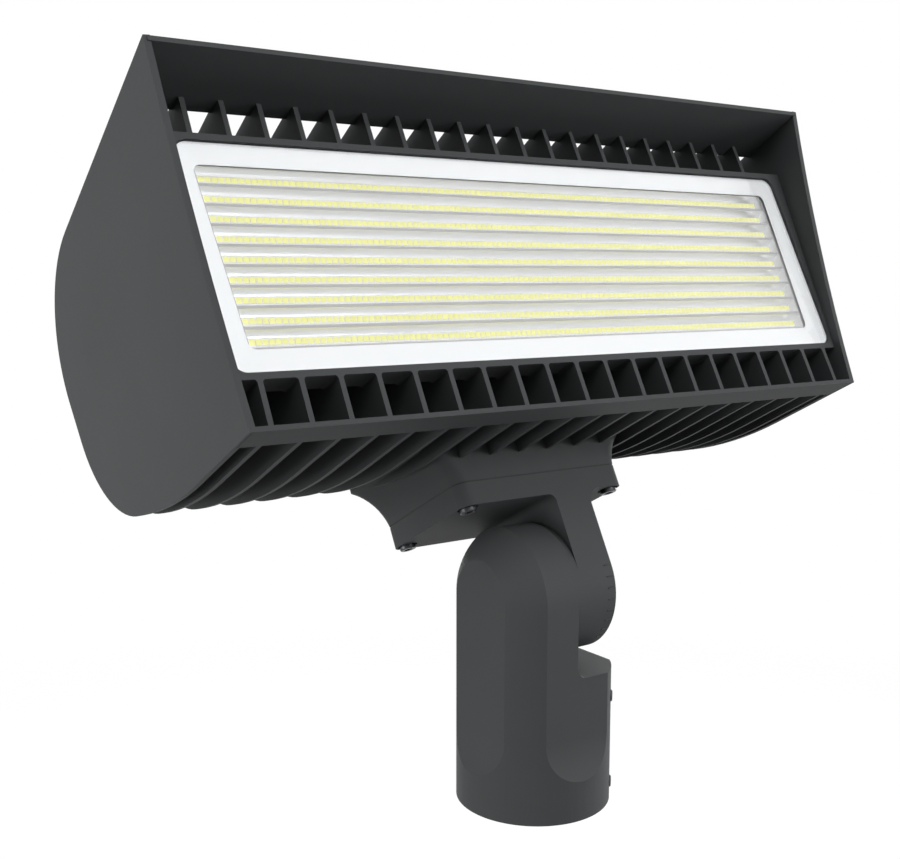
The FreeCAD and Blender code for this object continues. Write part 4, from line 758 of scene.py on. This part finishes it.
# Knuckle bolt
# An M12 hexagon bolt on the tilt axis clamps the disc to the tongue, over a plain and a split washer.
# A rubber ring in the tongue seals the wireway.
BOLT_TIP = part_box("knuckle_bolt")[0][0] / MM
BOLT_SEAT, BOLT_FACE, BOLT_RADIUS, BOLT_POINT, BOLT_SEGMENTS = 22.4, 29.9, 6.0, 1.0, 36
ACROSS, COLLAR_RADIUS, COLLAR_HIGH, COLLAR_STEP = 17.32, 8.5, 0.3, 0.01
FACE_RADIUS, FACE_SLOPE, FACE_DEPTHS = 8.3, math.tan(math.radians(60)), (1.0, 0.6, 0.3, 0.0)
rings = [
    (BOLT_RADIUS - BOLT_POINT, BOLT_TIP), (BOLT_RADIUS, BOLT_TIP + BOLT_POINT), (BOLT_RADIUS, BOLT_SEAT),
    (COLLAR_RADIUS, BOLT_SEAT), (COLLAR_RADIUS, BOLT_SEAT + COLLAR_HIGH),
]
hexagon_levels = [BOLT_SEAT + COLLAR_HIGH + COLLAR_STEP] + [BOLT_FACE - down for down in FACE_DEPTHS]
rings += [(ACROSS, level, FACE_RADIUS + (BOLT_FACE - level) * FACE_SLOPE) for level in hexagon_levels]
mesh = turned("hexagon_bolt", rings, zinc, segments=BOLT_SEGMENTS)
on_axis = pivot_mm @ along_x
corner_up = Matrix.Rotation(QUARTER, 4, "Z")
placed("hexagon_bolt", mesh, on_axis @ corner_up, "base", "screw_steel", "knuckle_bolt")

FLAT_IN, FLAT_OUT, FLAT_RADIUS, FLAT_HOLE, FLAT_EASE = 17.9, 19.9, 12.5, 6.3, 0.3
mesh = turned("plain_washer", (
    (FLAT_HOLE, FLAT_IN), (FLAT_RADIUS, FLAT_IN), (FLAT_RADIUS, FLAT_OUT - FLAT_EASE),
    (FLAT_RADIUS - FLAT_EASE, FLAT_OUT), (FLAT_HOLE, FLAT_OUT),
), zinc, segments=BOLT_SEGMENTS, joined=True)
placed("plain_washer", mesh, on_axis, "base", "screw_steel", "bolt_washer")

SPLIT_IN, SPLIT_OUT, SPLIT_RADIUS, SPLIT_HOLE = FLAT_OUT, BOLT_SEAT, 10.5, 6.3
SPLIT_GAP, SPLIT_STEPS = math.radians(8), 40
work = bmesh.new()
sections = []
for i in range(SPLIT_STEPS + 1):
    angle = SPLIT_GAP / 2 + (2 * math.pi - SPLIT_GAP) * i / SPLIT_STEPS
    sections.append([
        work.verts.new((radius * math.cos(angle), radius * math.sin(angle), level))
        for radius, level in (
            (SPLIT_HOLE, SPLIT_IN), (SPLIT_RADIUS, SPLIT_IN),
            (SPLIT_RADIUS, SPLIT_OUT), (SPLIT_HOLE, SPLIT_OUT),
        )
    ])
skin(work, sections, caps=(0, -1))
mesh = mesh_of("split_washer", work, zinc)
placed("split_washer", mesh, on_axis, "base", "screw_steel", "lock_washer")
dressed("knuckle_seal", rubber)
